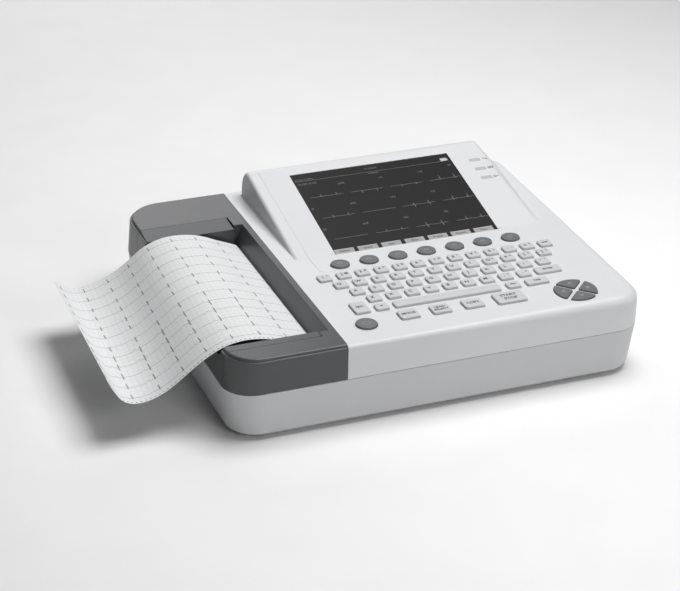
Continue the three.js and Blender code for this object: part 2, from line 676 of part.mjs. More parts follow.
part('tear_bar', tearBar(), 'steel');

/** Middle line of the hanging sheet in the X-Z plane, from the tear bar to the free end. */
function sheetLine() {
  return new THREE.CatmullRomCurve3([
    vec(-109.6, 0, 57.6), vec(-111.6, 0, 61.6), vec(-119, 0, 65.4), vec(-133, 0, 70.6),
    vec(-147, 0, 76.2), vec(-160, 0, 80), vec(-175, 0, 81.7), vec(-188, 0, 80.4),
    vec(-200, 0, 76), vec(-212, 0, 68.6), vec(-224, 0, 60), vec(-238, 0, 49.8),
    vec(-252, 0, 42.6), vec(-266, 0, 38.6), vec(-280, 0, 38.8), vec(-291, 0, 44.2), vec(-299, 0, 53.6),
  ]).getPoints(32);
}

function chartPaper() {
  const line = sheetLine();
  const sides = { upper: [], lower: [] };
  line.forEach((point, i) => {
    const ahead = line[Math.min(i + 1, line.length - 1)];
    const behind = line[Math.max(i - 1, 0)];
    const across = vec(behind.z - ahead.z, 0, ahead.x - behind.x).normalize().multiplyScalar(PAPER_THICK / 2);
    sides.upper.push([point.x + across.x, point.z + across.z]);
    sides.lower.push([point.x - across.x, point.z - across.z]);
  });
  return prismY(flat(...sides.upper, ...sides.lower.reverse()), PAPER_FRONT, PAPER_REAR);
}

part('chart_paper', chartPaper(), 'paper');

part('paper_roll', turnedY([
  [ROLL.core + GAP, PAPER_FRONT], [ROLL.radius, PAPER_FRONT], [ROLL.radius, PAPER_REAR],
  [ROLL.core + GAP, PAPER_REAR], [ROLL.core + GAP, PAPER_FRONT],
], ROLL.x, ROLL.z, 32), 'paper');
part('roll_spindle', turnedY([
  [0, PAPER_FRONT - 8], [5, PAPER_FRONT - 8], [5, PAPER_FRONT + 2], [ROLL.core, PAPER_FRONT + 2],
  [ROLL.core, PAPER_REAR - 2], [5, PAPER_REAR - 2], [5, PAPER_REAR + 8], [0, PAPER_REAR + 8],
], ROLL.x, ROLL.z, 20), 'black');

// ---------- display ----------
part('lcd_window', slopeBox(SCREEN.x, SCREEN.s, SCREEN.width, SCREEN.height, -1.8, -0.2), 'glass');
part('lcd_panel', slopeBox(
  SCREEN.x, SCREEN.s + 3, SCREEN.width + 8, SCREEN.height + 3, -9.5, -2.5 - GAP), 'black');
['charge_lamp', 'battery_lamp', 'mains_lamp'].forEach((name, i) => {
  part(name, slopeBox(LAMP.x, LAMP.first + i * LAMP.pitch, LAMP.width, LAMP.height, -4, 0), 'lamp');
});

// ---------- electronics ----------
part('keypad_board', box(-76, 172, -154, -8, 64, 65.6), 'board');
part('main_board', join(
  box(-40, RIGHT - 22, -70, 100, 14, 15.6),
  box(0, 35, -20, 15, 15, 18),
  box(60, 80, 30, 60, 15, 20),
  box(120, 150, -50, -35, 15, 22),
  box(-30, -10, 60, 90, 15, 24),
), 'board');
part('power_supply_board', join(
  box(-20, 80, 112, 160, 14, 15.6),
  box(0, 28, 120, 150, 15, 36),
  box(45, 62, 122, 138, 15, 40),
), 'board');
part('battery_pack', box(DOOR.x0 + 4, DOOR.x1 - 4, DOOR.y0 + 3, DOOR.y1 - 3, FLOOR + 1, 28), 'battery');
part('speaker', join(
  cylinderZ(165, 60, 18, 24, 28, 24),
  cylinderZ(165, 60, 10, 27, 34, 20),
), 'black');

// ---------- underside ----------
function batteryDoor() {
  const c = GAP + 0.1;
  const plate = box(DOOR.x0 + c, DOOR.x1 - c, DOOR.y0 + c, DOOR.y1 - c, 0.2, FLOOR - 0.2);
  const well = cylinderZ(DOOR_SCREW.x, DOOR_SCREW.y, 4.3, -1, 1.4, 16);
  return cut(plate, well, cylinderZ(DOOR_SCREW.x, DOOR_SCREW.y, 1.8, 0, FLOOR + 1, 12));
}

part('battery_door', batteryDoor(), 'grey');
part('door_screw', join(
  cylinderZ(DOOR_SCREW.x, DOOR_SCREW.y, 3.8, 0.3, 1.1, 16),
  cylinderZ(DOOR_SCREW.x, DOOR_SCREW.y, 1.5, 1, FLOOR + 0.6, 12),
), 'steel');
for (const [side, x] of [['left', -FOOT.x], ['right', FOOT.x]]) {
  for (const [end, y] of [['front', -FOOT.y], ['rear', FOOT.y]]) {
    part(`foot_${end}_${side}`, cylinderZ(x, y, FOOT.radius, -FOOT.drop, FOOT.sink - GAP, 20), 'rubber');
  }
}

// ---------- rear and right connectors ----------
function mainsInlet() {
  const { x, z, width, height } = INLET;
  const slab = (grow, y0, y1) => box(
    x - width / 2 - grow, x + width / 2 + grow, y0, y1, z - height / 2 - grow, z + height / 2 + grow);
  const flange = slab(2, REAR + 0.1, MODULE_FACE);
  const body = slab(-GAP, REAR - 24, REAR + 0.5);
  const mouth = (at, deep) => box(
    at.x - at.width / 2, at.x + at.width / 2, MODULE_FACE - deep, MODULE_FACE + 1,
    z - at.height / 2, z + at.height / 2);
  const pins = [-7, 0, 7].map((dx) => box(
    SOCKET.x + dx - 1, SOCKET.x + dx + 1, MODULE_FACE - SOCKET.depth - 0.5, MODULE_FACE - 6,
    z - 2 + (dx === 0 ? 3 : -1), z + 2 + (dx === 0 ? 3 : -1)));
  const mouths = [mouth(SOCKET, SOCKET.depth), mouth(ROCKER, 16), mouth(FUSE, 20)];
  return join(cut(join(flange, body), ...mouths), ...pins);
}

part('mains_inlet', mainsInlet(), 'black');

/** Rocker with two flat faces that meet in a shallow V; it turns about an axis along X. */
function mainsSwitch() {
  const half = { width: ROCKER.width / 2 - 0.5, height: 8.6 };
  const axle = vec(0, MODULE_FACE - 7, INLET.z);
  const profile = flat([-4, -3], [8.6, -half.height], [6.4, 0], [8.6, half.height], [-4, 3])
    .map((point) => point.rotateAround(new THREE.Vector2(), ROCKER.lean))
    .map((point) => point.add(new THREE.Vector2(axle.y, axle.z)));
  return prismX(profile, ROCKER.x - half.width, ROCKER.x + half.width);
}

part('mains_switch', mainsSwitch(), 'black');
part('fuse_drawer', box(
  FUSE.x - FUSE.width / 2 + GAP, FUSE.x + FUSE.width / 2 - GAP, MODULE_FACE - 19, MODULE_FACE + 0.6,
  INLET.z - FUSE.height / 2 + GAP, INLET.z + FUSE.height / 2 - GAP), 'black');
part('earth_stud', turnedY([
  [0, REAR - 12], [STUD.radius, REAR - 12], [STUD.radius, REAR + 0.2], [6, REAR + 0.2], [6, REAR + 2.5],
  [3, REAR + 2.5], [3, REAR + 10], [0, REAR + 10],
], STUD.x, STUD.z, 20), 'brass');

/** Block on a connector's centre line, given by its reach along X and its size across. */
const portBlock = (x0, x1, y, width, height) => box(
  x0, x1, y - width / 2, y + width / 2, PORTS.z - height / 2, PORTS.z + height / 2);

/** A connector's module, clear of its neighbours and of the opening. */
const portBody = ({ y, width }) => portBlock(
  RIGHT - 20, PORTS.face, y, width - 2 * GAP, PORTS.height - 2 * GAP);

/** A connector with an open mouth. */
function openPort(port) {
  return portBody(port).subtract(portBlock(PORTS.face - port.deep, PORTS.face + 1, port.y, ...port.mouth));
}

part('network_socket', openPort(NETWORK_PORT), 'alloy');
part('usb_socket', openPort(USB_PORT), 'alloy');

/** A wide patient-lead connector: a plate, a D-shaped shroud and a jack post at each end. */
function patientSocket() {
  const shroud = portBlock(PORTS.face - 1, PORTS.face + 5.2, PATIENT_PORT.y, 25, 8.4);
  const posts = [-17, 17].map((dy) => portBlock(
    PORTS.face - 1, PORTS.face + 4.2, PATIENT_PORT.y + dy, 5, 5));
  return join(portBody(PATIENT_PORT), shroud, ...posts);
}

part('patient_socket', patientSocket(), 'steel');

export default assembly;
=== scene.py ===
"""Desktop electrocardiograph: its visible surfaces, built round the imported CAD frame.

Lengths and places are millimetres in the frame's own axes; meshes are made in metres through MM.
"""
import json
import math
from contextlib import contextmanager
from math import cos, radians, sin, tan

import bmesh
import bpy
from mathutils import Matrix, Vector


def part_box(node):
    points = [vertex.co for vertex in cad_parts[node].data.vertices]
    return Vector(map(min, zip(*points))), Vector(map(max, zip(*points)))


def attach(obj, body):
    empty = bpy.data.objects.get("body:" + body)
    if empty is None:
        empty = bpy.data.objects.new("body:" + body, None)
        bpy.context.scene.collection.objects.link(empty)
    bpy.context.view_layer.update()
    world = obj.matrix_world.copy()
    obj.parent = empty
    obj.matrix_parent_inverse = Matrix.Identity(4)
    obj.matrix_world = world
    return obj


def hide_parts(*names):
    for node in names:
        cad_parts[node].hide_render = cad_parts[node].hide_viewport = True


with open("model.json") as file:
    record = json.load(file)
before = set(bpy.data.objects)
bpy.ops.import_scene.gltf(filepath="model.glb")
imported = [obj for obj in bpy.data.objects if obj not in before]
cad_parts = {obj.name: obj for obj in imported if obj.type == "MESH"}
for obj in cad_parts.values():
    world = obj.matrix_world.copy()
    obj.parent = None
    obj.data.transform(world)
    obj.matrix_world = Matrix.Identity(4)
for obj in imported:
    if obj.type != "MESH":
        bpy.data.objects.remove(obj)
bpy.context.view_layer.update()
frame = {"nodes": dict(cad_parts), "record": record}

MM = 0.001
scene = bpy.context.scene
SLOT = {row["node"]: row["material_slot"] for row in frame["record"]["subparts"]}
BODY = {node: body for body, nodes in frame["record"]["behaviour"]["bodies"].items() for node in nodes}


def extent(node):
    """A CAD node's box in millimetres, as a (low, high) pair for each axis."""
    low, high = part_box(node)
    return [(a / MM, b / MM) for a, b in zip(low, high)]


def middle(node):
    """The centre of a CAD node's box."""
    return [(low + high) / 2 for low, high in extent(node)]


# ---------- driving dimensions ----------
GAP = 0.3
WALL = 2.5
(LEFT, RIGHT), (FRONT, REAR), (_, LOWER_TOP) = extent("bottom_shell")
PART_Z = LOWER_TOP + GAP / 2
DECK_Z = 76.5
COVER_Z = extent("recorder_bezel")[2][1]
SPLIT_X = extent("top_shell")[0][0] - GAP / 2
FLOOR = 3
LEDGE_Z = 75
CORNERS = (29, 37, 29, 29)  # plan radii: rear right, rear left, front left, front right
CORNER_STEPS = 14
FILLET_STEPS = 10
SHELL_EDGE = 0.35  # small round on every other edge of the shells
LOWER_DRAFT = {"left": 3.8, "right": 5.5, "front": 1.2, "rear": 2}

TILT = radians(12.55)
BEND_Y = 2.6
WEDGE_LEFT = -80
WEDGE_RIGHT_FRONT = 177
WEDGE_RIGHT_REAR = 169
WEDGE_FOOT_RIGHT = 198
WEDGE_TOP_Y = 145
WEDGE_FOOT_Y = 161
WEDGE_INSET = 3.6  # how far the display housing stays inside the case outline
WEDGE_TOP_Z = DECK_Z + (WEDGE_TOP_Y - BEND_Y) * tan(TILT)

SCREEN_X = (-38.8, 132.5)
SCREEN_S = (0.7, 131.3)  # from the bend up the slope
SCREEN_FACE = -0.9
LAMP = {"x": 156.8, "width": 11.7, "height": 4.4}
LAMP_PLACES = [82.9 + i * 15.4 for i in range(3)]

NOTCH_X = -111.5
NOTCH = 1.4
_, (DRAWER_FRONT, DRAWER_REAR), _ = extent("paper_drawer")
TROUGH = (-138.5, 88)
RECESS = (-139.8, 93.3)
RECESS_TOP_X = -102
RECESS_FOOT = (-108.3, 58.5)
PLATEN = (-119, 53.4)
PAPER_Y = extent("chart_paper")[1]

_, _, (KEY_LOW, KEY_TOP) = extent("esc_key")
WEB_TOP = DECK_Z - WALL - GAP
KEY_DISH = 0.12
ROUND_DISH = 0.2
ROUND_TOP = KEY_TOP - 0.4
KEY_ROUND = {"square": 0.9, "round": 1.1, "arrow": 0.6}
KEY_GAP = 0.4
KEY_PITCH = 19.05
ROW_PITCH = 17.4
FIRST_KEY = (-68.2, -43.1)
CAP = {"width": 13, "height": 11.8, "radius": 2}
FLANGE = {"round": 1.2, "square": 1, "arrow": 1}  # how far a key's flange stands out under the deck
ARROWS = {"radius": 20.4, "gap": 4, "corner": 1.6, "top": 78.2}
FEET = [f"foot_{side}" for side in ("front_left", "front_right", "rear_left", "rear_right")]


# ---------- camera, light and floor ----------
def make_camera():
    yaw, pitch, roll = radians(22.12), radians(27.31), radians(-1.25)
    data = bpy.data.cameras.new("camera")
    data.sensor_width = 36
    data.lens = 115.26
    camera = shown("camera", data)
    camera.matrix_world = (Matrix.Translation((-0.73767, -1.72927, 0.99694)) @ Matrix.Rotation(-yaw, 4, "Z")
                           @ Matrix.Rotation(math.pi / 2 - pitch, 4, "X") @ Matrix.Rotation(-roll, 4, "Z"))
    scene.camera = camera


def softbox(name, place, size, power):
    """A square area light that faces the middle of the machine."""
    data = bpy.data.lights.new(name, "AREA")
    data.size = size
    data.energy = power
    light = shown(name, data)
    light.location = place
    light.rotation_euler = (Vector((0, 0, 0.05)) - Vector(place)).to_track_quat("-Z", "Y").to_euler()


def make_studio():
    """Soft white surroundings, dimmer to the left, with four lamps round the machine."""
    world = bpy.data.worlds.new("studio")
    world.use_nodes = True
    tree = world.node_tree
    across = add(tree, "SeparateXYZ", "X", {"Vector": add(tree, "TexCoord", "Generated", {})})
    connect(tree, tree.nodes["Background"], {"Strength": spread(tree, across, 0.05, 0.44, (-0.8, 0.9))})
    scene.world = world
    softbox("overhead", (0.40, -0.08, 1.6), 1.0, 23)
    softbox("middle", (-0.05, 0.10, 0.9), 0.5, 1.2)
    softbox("front", (0.16, -1.4, 0.75), 0.6, 5)
    softbox("rear", (0.0, 1.5, 0.8), 1.0, 6)
    scene.view_settings.view_transform = "Standard"


def make_floor():
    low = extent("foot_front_left")[2][0]
    half = 6000
    corners = [(x, y, low) for x, y in rectangle(-half, half, -half, half)]
    floor = new_object("floor", corners, [(0, 1, 2, 3)])
    floor.data.materials.append(plastic("floor_paint", (0.93, 0.93, 0.93), 0.8, grain=0.02))


# ---------- materials ----------
def node_material(name):
    material = bpy.data.materials.new(name)
    material.use_nodes = True
    tree = material.node_tree
    return material, tree, tree.nodes["Principled BSDF"]


def connect(tree, node, inputs):
    """Sets a node's inputs to values, or links other nodes' outputs to them."""
    for name, value in inputs.items():
        if isinstance(value, bpy.types.NodeSocket):
            tree.links.new(value, node.inputs[name])
        else:
            node.inputs[name].default_value = value


def add(tree, kind, output, inputs, **settings):
    """One of the outputs of a new node."""
    node = tree.nodes.new(f"ShaderNode{kind}")
    for name, value in settings.items():
        setattr(node, name, value)
    connect(tree, node, inputs)
    return node.outputs[output]


def noise(tree, scale, detail=2, stretch=None):
    """Noise in the piece's own coordinates; scale is in features per metre."""
    place = add(tree, "TexCoord", "Object", {})
    if stretch:
        place = add(tree, "Mapping", "Vector", {"Vector": place, "Scale": stretch})
    return add(tree, "TexNoise", "Fac", {"Vector": place, "Scale": scale, "Detail": detail})


def spread(tree, value, low, high, source=(0.3, 0.7)):
    """A value, such as noise, spread from its source range over another."""
    return add(tree, "MapRange", "Result", {
        "Value": value, "From Min": source[0], "From Max": source[1], "To Min": low, "To Max": high})


def mixed(tree, value, first, second, blend="MIX"):
    """A colour between two, by a value from 0 to 1; the first may be another node's output."""
    if not isinstance(first, bpy.types.NodeSocket):
        first = (*first, 1)
    return add(tree, "Mix", "Result", {"Factor": value, "A": first, "B": (*second, 1)},
               data_type="RGBA", blend_type=blend)


def bump(tree, height, strength, distance):
    return add(tree, "Bump", "Normal", {"Height": height, "Strength": strength, "Distance": distance})


def plastic(name, colour, roughness, grain=0.1, grain_scale=1400, variation=0.03, gloss=0.5, coat=0, metal=0,
            stretch=None):
    """Moulded or rolled surface: fine grain, and slow changes of tone and gloss."""
    material, tree, shader = node_material(name)
    fine = noise(tree, grain_scale, 2, stretch)
    darker = [c * (1 - variation) for c in colour]
    lighter = [min(1, c * (1 + variation)) for c in colour]
    connect(tree, shader, {
        "Base Color": mixed(tree, noise(tree, 14, 3), darker, lighter),
        "Roughness": spread(tree, fine, roughness - 0.05, roughness + 0.05),
        "Metallic": metal, "Specular IOR Level": gloss, "Coat Weight": coat, "Coat Roughness": 0.12,
        "Normal": bump(tree, fine, grain, 0.0002)})
    return material


def reckoned(tree, operation, first, second):
    return add(tree, "Math", 0, {0: first, 1: second}, operation=operation)


def chart_grid(name):
    """Thermal paper printed with a millimetre grid and a heavier line at every fifth."""
    material, tree, shader = node_material(name)
    chart = add(tree, "UVMap", "UV", {}, uv_map="chart")
    tone = mixed(tree, noise(tree, 9, 3), (0.76, 0.765, 0.77), (0.80, 0.805, 0.81))
    for pitch, width, ink in ((1, 0.2, 0.14), (5, 0.4, 0.18)):
        for axis in "XY":
            place = add(tree, "SeparateXYZ", axis, {"Vector": chart})
            line = reckoned(tree, "LESS_THAN", reckoned(tree, "PINGPONG", place, pitch / 2), width / 2)
            tone = mixed(tree, reckoned(tree, "MULTIPLY", line, ink), tone, (0.25, 0.25, 0.27), "MULTIPLY")
    connect(tree, shader, {
        "Base Color": tone, "Roughness": 0.62, "Normal": bump(tree, noise(tree, 1800, 3), 0.08, 0.0001)})
    return material


def glowing(name, level, strength):
    """Lit grey display graphics."""
    material, tree, shader = node_material(name)
    tone = mixed(tree, noise(tree, 500), [level * 0.92] * 3, [level] * 3)
    connect(tree, shader, {
        "Base Color": tone, "Emission Color": tone, "Emission Strength": strength, "Roughness": 0.4})
    return material


MATERIAL = {}


def look(slot, colour, roughness, **others):
    MATERIAL[slot] = plastic(slot, colour, roughness, **others)


look("shell_white", (0.70, 0.705, 0.715), 0.42)
look("shell_grey", (0.60, 0.605, 0.615), 0.46)
look("casing_dark", (0.078, 0.080, 0.084), 0.34, grain=0.06, grain_scale=900, stretch=(0.12, 1, 1))
look("key_light", (0.57, 0.575, 0.58), 0.5)
look("key_dark", (0.15, 0.153, 0.158), 0.5)
look("rubber", (0.03, 0.03, 0.032), 0.7, grain=0.3)
look("display_glass", (0.018, 0.0165, 0.017), 0.42, grain=0, variation=0.01, gloss=0.3)
look("lamp_window", (0.50, 0.505, 0.51), 0.35, grain=0.03)
look("nylon", (0.75, 0.72, 0.62), 0.45)
look("brass", (0.75, 0.56, 0.26), 0.3, metal=1, stretch=(1, 8, 1))
look("steel", (0.62, 0.63, 0.64), 0.32, grain=0.2, metal=1, stretch=(8, 0.2, 8))
look("alloy", (0.60, 0.61, 0.62), 0.38, grain=0.15, metal=1, stretch=(8, 0.3, 8))
look("board_green", (0.03, 0.16, 0.07), 0.4, grain_scale=400)
look("black_plastic", (0.022, 0.022, 0.024), 0.42, grain=0.15)
look("battery_wrap", (0.06, 0.13, 0.30), 0.25, coat=0.4)
MATERIAL["paper"] = plastic("paper_roll_side", (0.82, 0.825, 0.83), 0.7, grain=0.3, grain_scale=2500,
                            stretch=(1, 0.1, 1))
CHART = chart_grid("chart_paper_print")
INK = plastic("printing_ink", (0.06, 0.062, 0.066), 0.55)
FAINT_INK = plastic("faint_ink", (0.27, 0.275, 0.28), 0.55)
TRACE_INK = plastic("trace_ink", (0.20, 0.20, 0.21), 0.6)
DISPLAY_DIM = glowing("display_dim", 0.17, 0.12)
DISPLAY_GREY = glowing("display_grey", 0.34, 0.12)
DISPLAY_LIGHT = glowing("display_light", 0.50, 0.15)


# ---------- mesh helpers ----------
@contextmanager
def editing(mesh):
    """Opens a mesh for work in bmesh and writes it back."""
    work = bmesh.new()
    work.from_mesh(mesh)
    yield work
    work.to_mesh(mesh)
    work.free()


def shown(name, data):
    obj = bpy.data.objects.new(name, data)
    scene.collection.objects.link(obj)
    return obj


def new_object(name, points, faces):
    mesh = bpy.data.meshes.new(name)
    mesh.from_pydata([tuple(c * MM for c in point) for point in points], [], faces)
    with editing(mesh) as work:
        bmesh.ops.recalc_face_normals(work, faces=work.faces)
    return shown(name, mesh)


def loft(loops):
    """Points and faces of a closed skin through loops that have the same number of points."""
    count = len(loops[0])
    points = [point for loop in loops for point in loop]
    faces = [tuple(range(count)), tuple(range(len(points) - count, len(points)))]
    for level in range(len(loops) - 1):
        for i in range(count):
            a = level * count + i
            b = level * count + (i + 1) % count
            faces.append((a, b, b + count, a + count))
    return points, faces


def solids(name, *shapes):
    """One object of several closed shapes that stay clear of each other."""
    points, faces = [], []
    for shape_points, shape_faces in shapes:
        start = len(points)
        points.extend(shape_points)
        faces.extend(tuple(i + start for i in face) for face in shape_faces)
    return new_object(name, points, faces)


def quarter(steps):
    """Sine, and 1 less the cosine, at even steps over a quarter turn."""
    return [(sin(a), 1 - cos(a)) for a in (radians(90 * i / steps) for i in range(steps + 1))]


def along_x(u, v, w):
    return (w, u, v)


def along_y(u, v, w):
    return (u, w, v)


def along_z(u, v, w):
    return (u, v, w)


def slope(u, v, w):
    """The display plane's own frame: x, distance up the slope, height above it."""
    return (u, BEND_Y + v * cos(TILT) - w * sin(TILT), DECK_Z + v * sin(TILT) + w * cos(TILT))


BLEND = 3


def over_bend(u, v, w):
    """x, distance up from the bend (negative on the deck), and height above the rounded bend."""
    if v <= -BLEND:
        return (u, BEND_Y + v, DECK_Z + w)
    if v >= BLEND:
        return slope(u, v, w)
    share = (v + BLEND) / (2 * BLEND)
    rise = BLEND * share * share
    lean = TILT * share
    return (u, BEND_Y + v - rise * (1 - cos(TILT)) - w * sin(lean), DECK_Z + rise * sin(TILT) + w * cos(lean))


def stack(levels, place=along_z):
    """A closed skin through outlines at (outline, height) levels."""
    return loft([[place(u, v, w) for u, v in outline] for outline, w in levels])


def prism(outline, low, high, place=along_z):
    return stack([(outline, low), (outline, high)], place)


def flared(outline, low, surface, place=along_z, flare=0.3):
    """A cutter that leaves a small chamfer where it passes through a surface."""
    wide = inset(outline, -flare - 0.1)
    return stack([(outline, low), (outline, surface - flare), (wide, surface + 0.1), (wide, surface + 4)],
                 place)


def rectangle(x0, x1, y0, y1):
    return [(x1, y1), (x0, y1), (x0, y0), (x1, y0)]


def box(x0, x1, y0, y1, z0, z1):
    return prism(rectangle(x0, x1, y0, y1), z0, z1)


def rounded(x0, x1, y0, y1, radii, steps):
    """Rounded rectangle, counter-clockwise from the rear right corner."""
    points = []
    corners = ((x1, y1, -1, -1), (x0, y1, 1, -1), (x0, y0, 1, 1), (x1, y0, -1, 1))
    for number, ((x, y, in_x, in_y), radius) in enumerate(zip(corners, radii)):
        for i in range(steps + 1):
            angle = radians(90 * (number + i / steps))
            points.append((x + radius * (in_x + cos(angle)), y + radius * (in_y + sin(angle))))
    return points


def circle(x, y, radius, sides):
    return [(x + radius * cos(2 * math.pi * i / sides), y + radius * sin(2 * math.pi * i / sides))
            for i in range(sides)]


def inwards(outline):
    """For each point of a counter-clockwise outline, the step that moves its sides in by one."""
    steps = []
    count = len(outline)
    for i, point in enumerate(outline):
        point = Vector(point)
        before = (point - Vector(outline[i - 1])).normalized()
        after = (Vector(outline[(i + 1) % count]) - point).normalized()
        first, second = Vector((-before.y, before.x)), Vector((-after.y, after.x))
        steps.append((first + second) / (1 + first.dot(second)))
    return steps


def inset(outline, distance):
    return [(u + step.x * distance, v + step.y * distance) for (u, v), step in zip(outline, inwards(outline))]


def pillow(outline, low, top, edge, dish=0.0, place=along_z):
    """A straight-sided block whose top edge is rounded and whose face is dished or crowned a little."""
    levels = [(outline, low)]
    levels += [(inset(outline, edge * fall), top - edge + edge * rise) for rise, fall in quarter(4)]
    if dish:
        levels += [(inset(outline, edge * 1.5), top - dish * 0.55), (inset(outline, edge * 2), top - dish)]
    return stack(levels, place)


def lathe(profile, x, z, sides=64):
    """A turned shape whose (radius, y) profile starts and ends at the axis."""
    return stack([(circle(x, z, radius, sides), y) for radius, y in profile], along_y)


def tube(profile, x, z, sides=96):
    """A turned shape whose (radius, y) profile is a closed loop."""
    points, faces = lathe([*profile, profile[0]], x, z, sides)
    count = len(profile) * sides
    return points[:count], [tuple(i % count for i in face) for face in faces[2:]]


def strip(line, width, low, high, place=along_z):
    """A flat band that follows a line of (u, v) points, with a closed rectangular section."""
    half = width / 2
    rings = []
    for i, point in enumerate(line):
        point = Vector(point)
        before = (point - Vector(line[max(i - 1, 0)])).normalized()
        after = (Vector(line[min(i + 1, len(line) - 1)]) - point).normalized()
        along = before + after
        side = Vector((-along.y, along.x)).normalized() * half
        left, right = point + side, point - side
        rings.append([place(*left, low), place(*right, low), place(*right, high), place(*left, high)])
    return loft(rings)


def settle(obj):
    """Applies the modifiers."""
    graph = bpy.context.evaluated_depsgraph_get()
    mesh = bpy.data.meshes.new_from_object(obj.evaluated_get(graph), depsgraph=graph)
    obj.modifiers.clear()
    obj.data = mesh
    return obj


def combine(base, operation, *tools):
    """Applies booleans in turn; each tool is an object or a closed shape, and is used up."""
    tools = [solids("tool", tool) if isinstance(tool, tuple) else tool for tool in tools]
    for tool in tools:
        modifier = base.modifiers.new("combine", "BOOLEAN")
        modifier.operation = operation
        modifier.solver = "MANIFOLD"
        modifier.object = tool
    settle(base)
    for tool in tools:
        bpy.data.objects.remove(tool)
    return base


def cut(base, *tools):
    return combine(base, "DIFFERENCE", *tools)


def join(base, *tools):
    return combine(base, "UNION", *tools)


def tidy_faces(obj):
    """Joins faces that lie in one plane, so that bevels run cleanly."""
    with editing(obj.data) as work:
        bmesh.ops.remove_doubles(work, verts=work.verts, dist=2e-6)
        bmesh.ops.dissolve_limit(work, angle_limit=radians(0.15), verts=work.verts, edges=work.edges)
        bmesh.ops.recalc_face_normals(work, faces=work.faces)
    return obj


def gridded(obj, step_x, step_y):
    """Cuts faces along a grid, which keeps them small round the many holes."""
    with editing(obj.data) as work:
        for axis, step, low, high in ((0, step_x, LEFT, RIGHT), (1, step_y, FRONT, REAR)):
            for k in range(1, int((high - low) / step)):
                place, normal = Vector(), Vector()
                place[axis], normal[axis] = (low + k * step) * MM, 1
                bmesh.ops.bisect_plane(work, geom=[*work.verts, *work.edges, *work.faces], dist=1e-7,
                                       plane_co=place, plane_no=normal)
    return obj


def round_edges(obj, chosen, width, segments):
    """Rounds the edges that a test picks from their two end points, given in millimetres."""
    with editing(obj.data) as work:
        edges = [edge for edge in work.edges if chosen(*(vert.co / MM for vert in edge.verts))]
        bmesh.ops.bevel(work, geom=edges, offset=width * MM, segments=segments, profile=0.5,
                        affect="EDGES", clamp_overlap=False)
    return obj


def merge_near(obj, place, reach, distance):
    """Merges points that crowd together round one place."""
    with editing(obj.data) as work:
        close = [vert for vert in work.verts if (vert.co / MM - Vector(place)).length < reach]
        bmesh.ops.remove_doubles(work, verts=close, dist=distance * MM)


def soften(obj, width, join_faces=True):
    """Small rounds on every remaining sharp edge, with shading that keeps flat faces flat."""
    if join_faces:
        tidy_faces(obj)
    bevel = obj.modifiers.new("bevel", "BEVEL")
    bevel.width = width * MM
    bevel.segments = 2
    bevel.limit_method = "ANGLE"
    bevel.angle_limit = radians(25)
    bevel.use_clamp_overlap = False
    bevel.miter_outer = "MITER_ARC"
    return smooth(obj)


def smooth(obj):
    """Smooth shading up to a crease of 40 degrees, with flat faces kept flat."""
    obj.data.polygons.foreach_set("use_smooth", [True] * len(obj.data.polygons))
    settle(obj)
    obj.data.set_sharp_from_angle(angle=radians(40))
    weighted = obj.modifiers.new("weighted", "WEIGHTED_NORMAL")
    weighted.mode = "FACE_AREA"
    weighted.weight = 50
    weighted.keep_sharp = True
    return settle(obj)


def paint(obj, material):
    obj.data.materials.clear()
    obj.data.materials.append(material)


def print_on(piece, name, node, material):
    """Printing or trim, an object or a list of shapes, that goes with a CAD node's body."""
    obj = solids(name, *piece) if isinstance(piece, list) else piece
    obj.name = name
    paint(obj, material)
    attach(obj, BODY[node])
    return obj


def dress(obj, node, material=None):
    """Makes a finished piece stand for a CAD node, with that node's body, slot and finish."""
    print_on(obj, f"{node}_skin", node, material or MATERIAL[SLOT[node]])
    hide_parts(node)


PRINT = 0.06
LEVEL = Matrix.Identity(4)
SLOPE = Matrix.Translation(Vector(slope(0, 0, 0)) * MM) @ Matrix.Rotation(TILT, 4, "X")


def lettering(items, height, plane=LEVEL, bold=0.0):
    """One mesh of thin raised characters; items are (text, size, x, y) on a plane."""
    texts = []
    for text, size, x, y in items:
        curve = bpy.data.curves.new("text", "FONT")
        curve.body = text
        curve.size = size * MM
        curve.align_x = "CENTER"
        curve.align_y = "CENTER"
        curve.extrude = PRINT / 2 * MM
        curve.offset = bold * MM
        curve.resolution_u = 3
        texts.append((shown("text", curve), plane @ Matrix.Translation(Vector((x, y, height)) * MM)))
    graph = bpy.context.evaluated_depsgraph_get()
    work = bmesh.new()
    for obj, place in texts:
        mesh = bpy.data.meshes.new_from_object(obj.evaluated_get(graph), depsgraph=graph)
        mesh.transform(place)
        work.from_mesh(mesh)
        bpy.data.meshes.remove(mesh)
        bpy.data.objects.remove(obj)
    bmesh.ops.remove_doubles(work, verts=work.verts, dist=1e-7)
    mesh = bpy.data.meshes.new("lettering")
    work.to_mesh(mesh)
    work.free()
    return shown("lettering", mesh)


# ---------- case outline ----------
def subdivided(outline, longest):
    """The outline with its long straight sides cut into shorter ones."""
    points = []
    for i, point in enumerate(outline):
        following = outline[(i + 1) % len(outline)]
        pieces = max(1, round(math.dist(point, following) / longest))
        for k in range(pieces):
            points.append(tuple(a + (b - a) * k / pieces for a, b in zip(point, following)))
    return points


CASE = subdivided(rounded(LEFT, RIGHT, FRONT, REAR, CORNERS, CORNER_STEPS), 24)
CASE_IN = inwards(CASE)


def ring(z, every=0.0, left=0.0, right=0.0, front=0.0, rear=0.0):
    """The case outline at a height, drawn in all round and by more at each side."""
    return [(x + step.x * every + (left if x < 0 else -right),
             y + step.y * every + (front if y < 0 else -rear), z)
            for (x, y), step in zip(CASE, CASE_IN)]


# ---------- lower shell ----------
def lower_ring(z, every):
    draft = 1 - z / PART_Z
    return ring(z, every, **{side: most * draft for side, most in LOWER_DRAFT.items()})


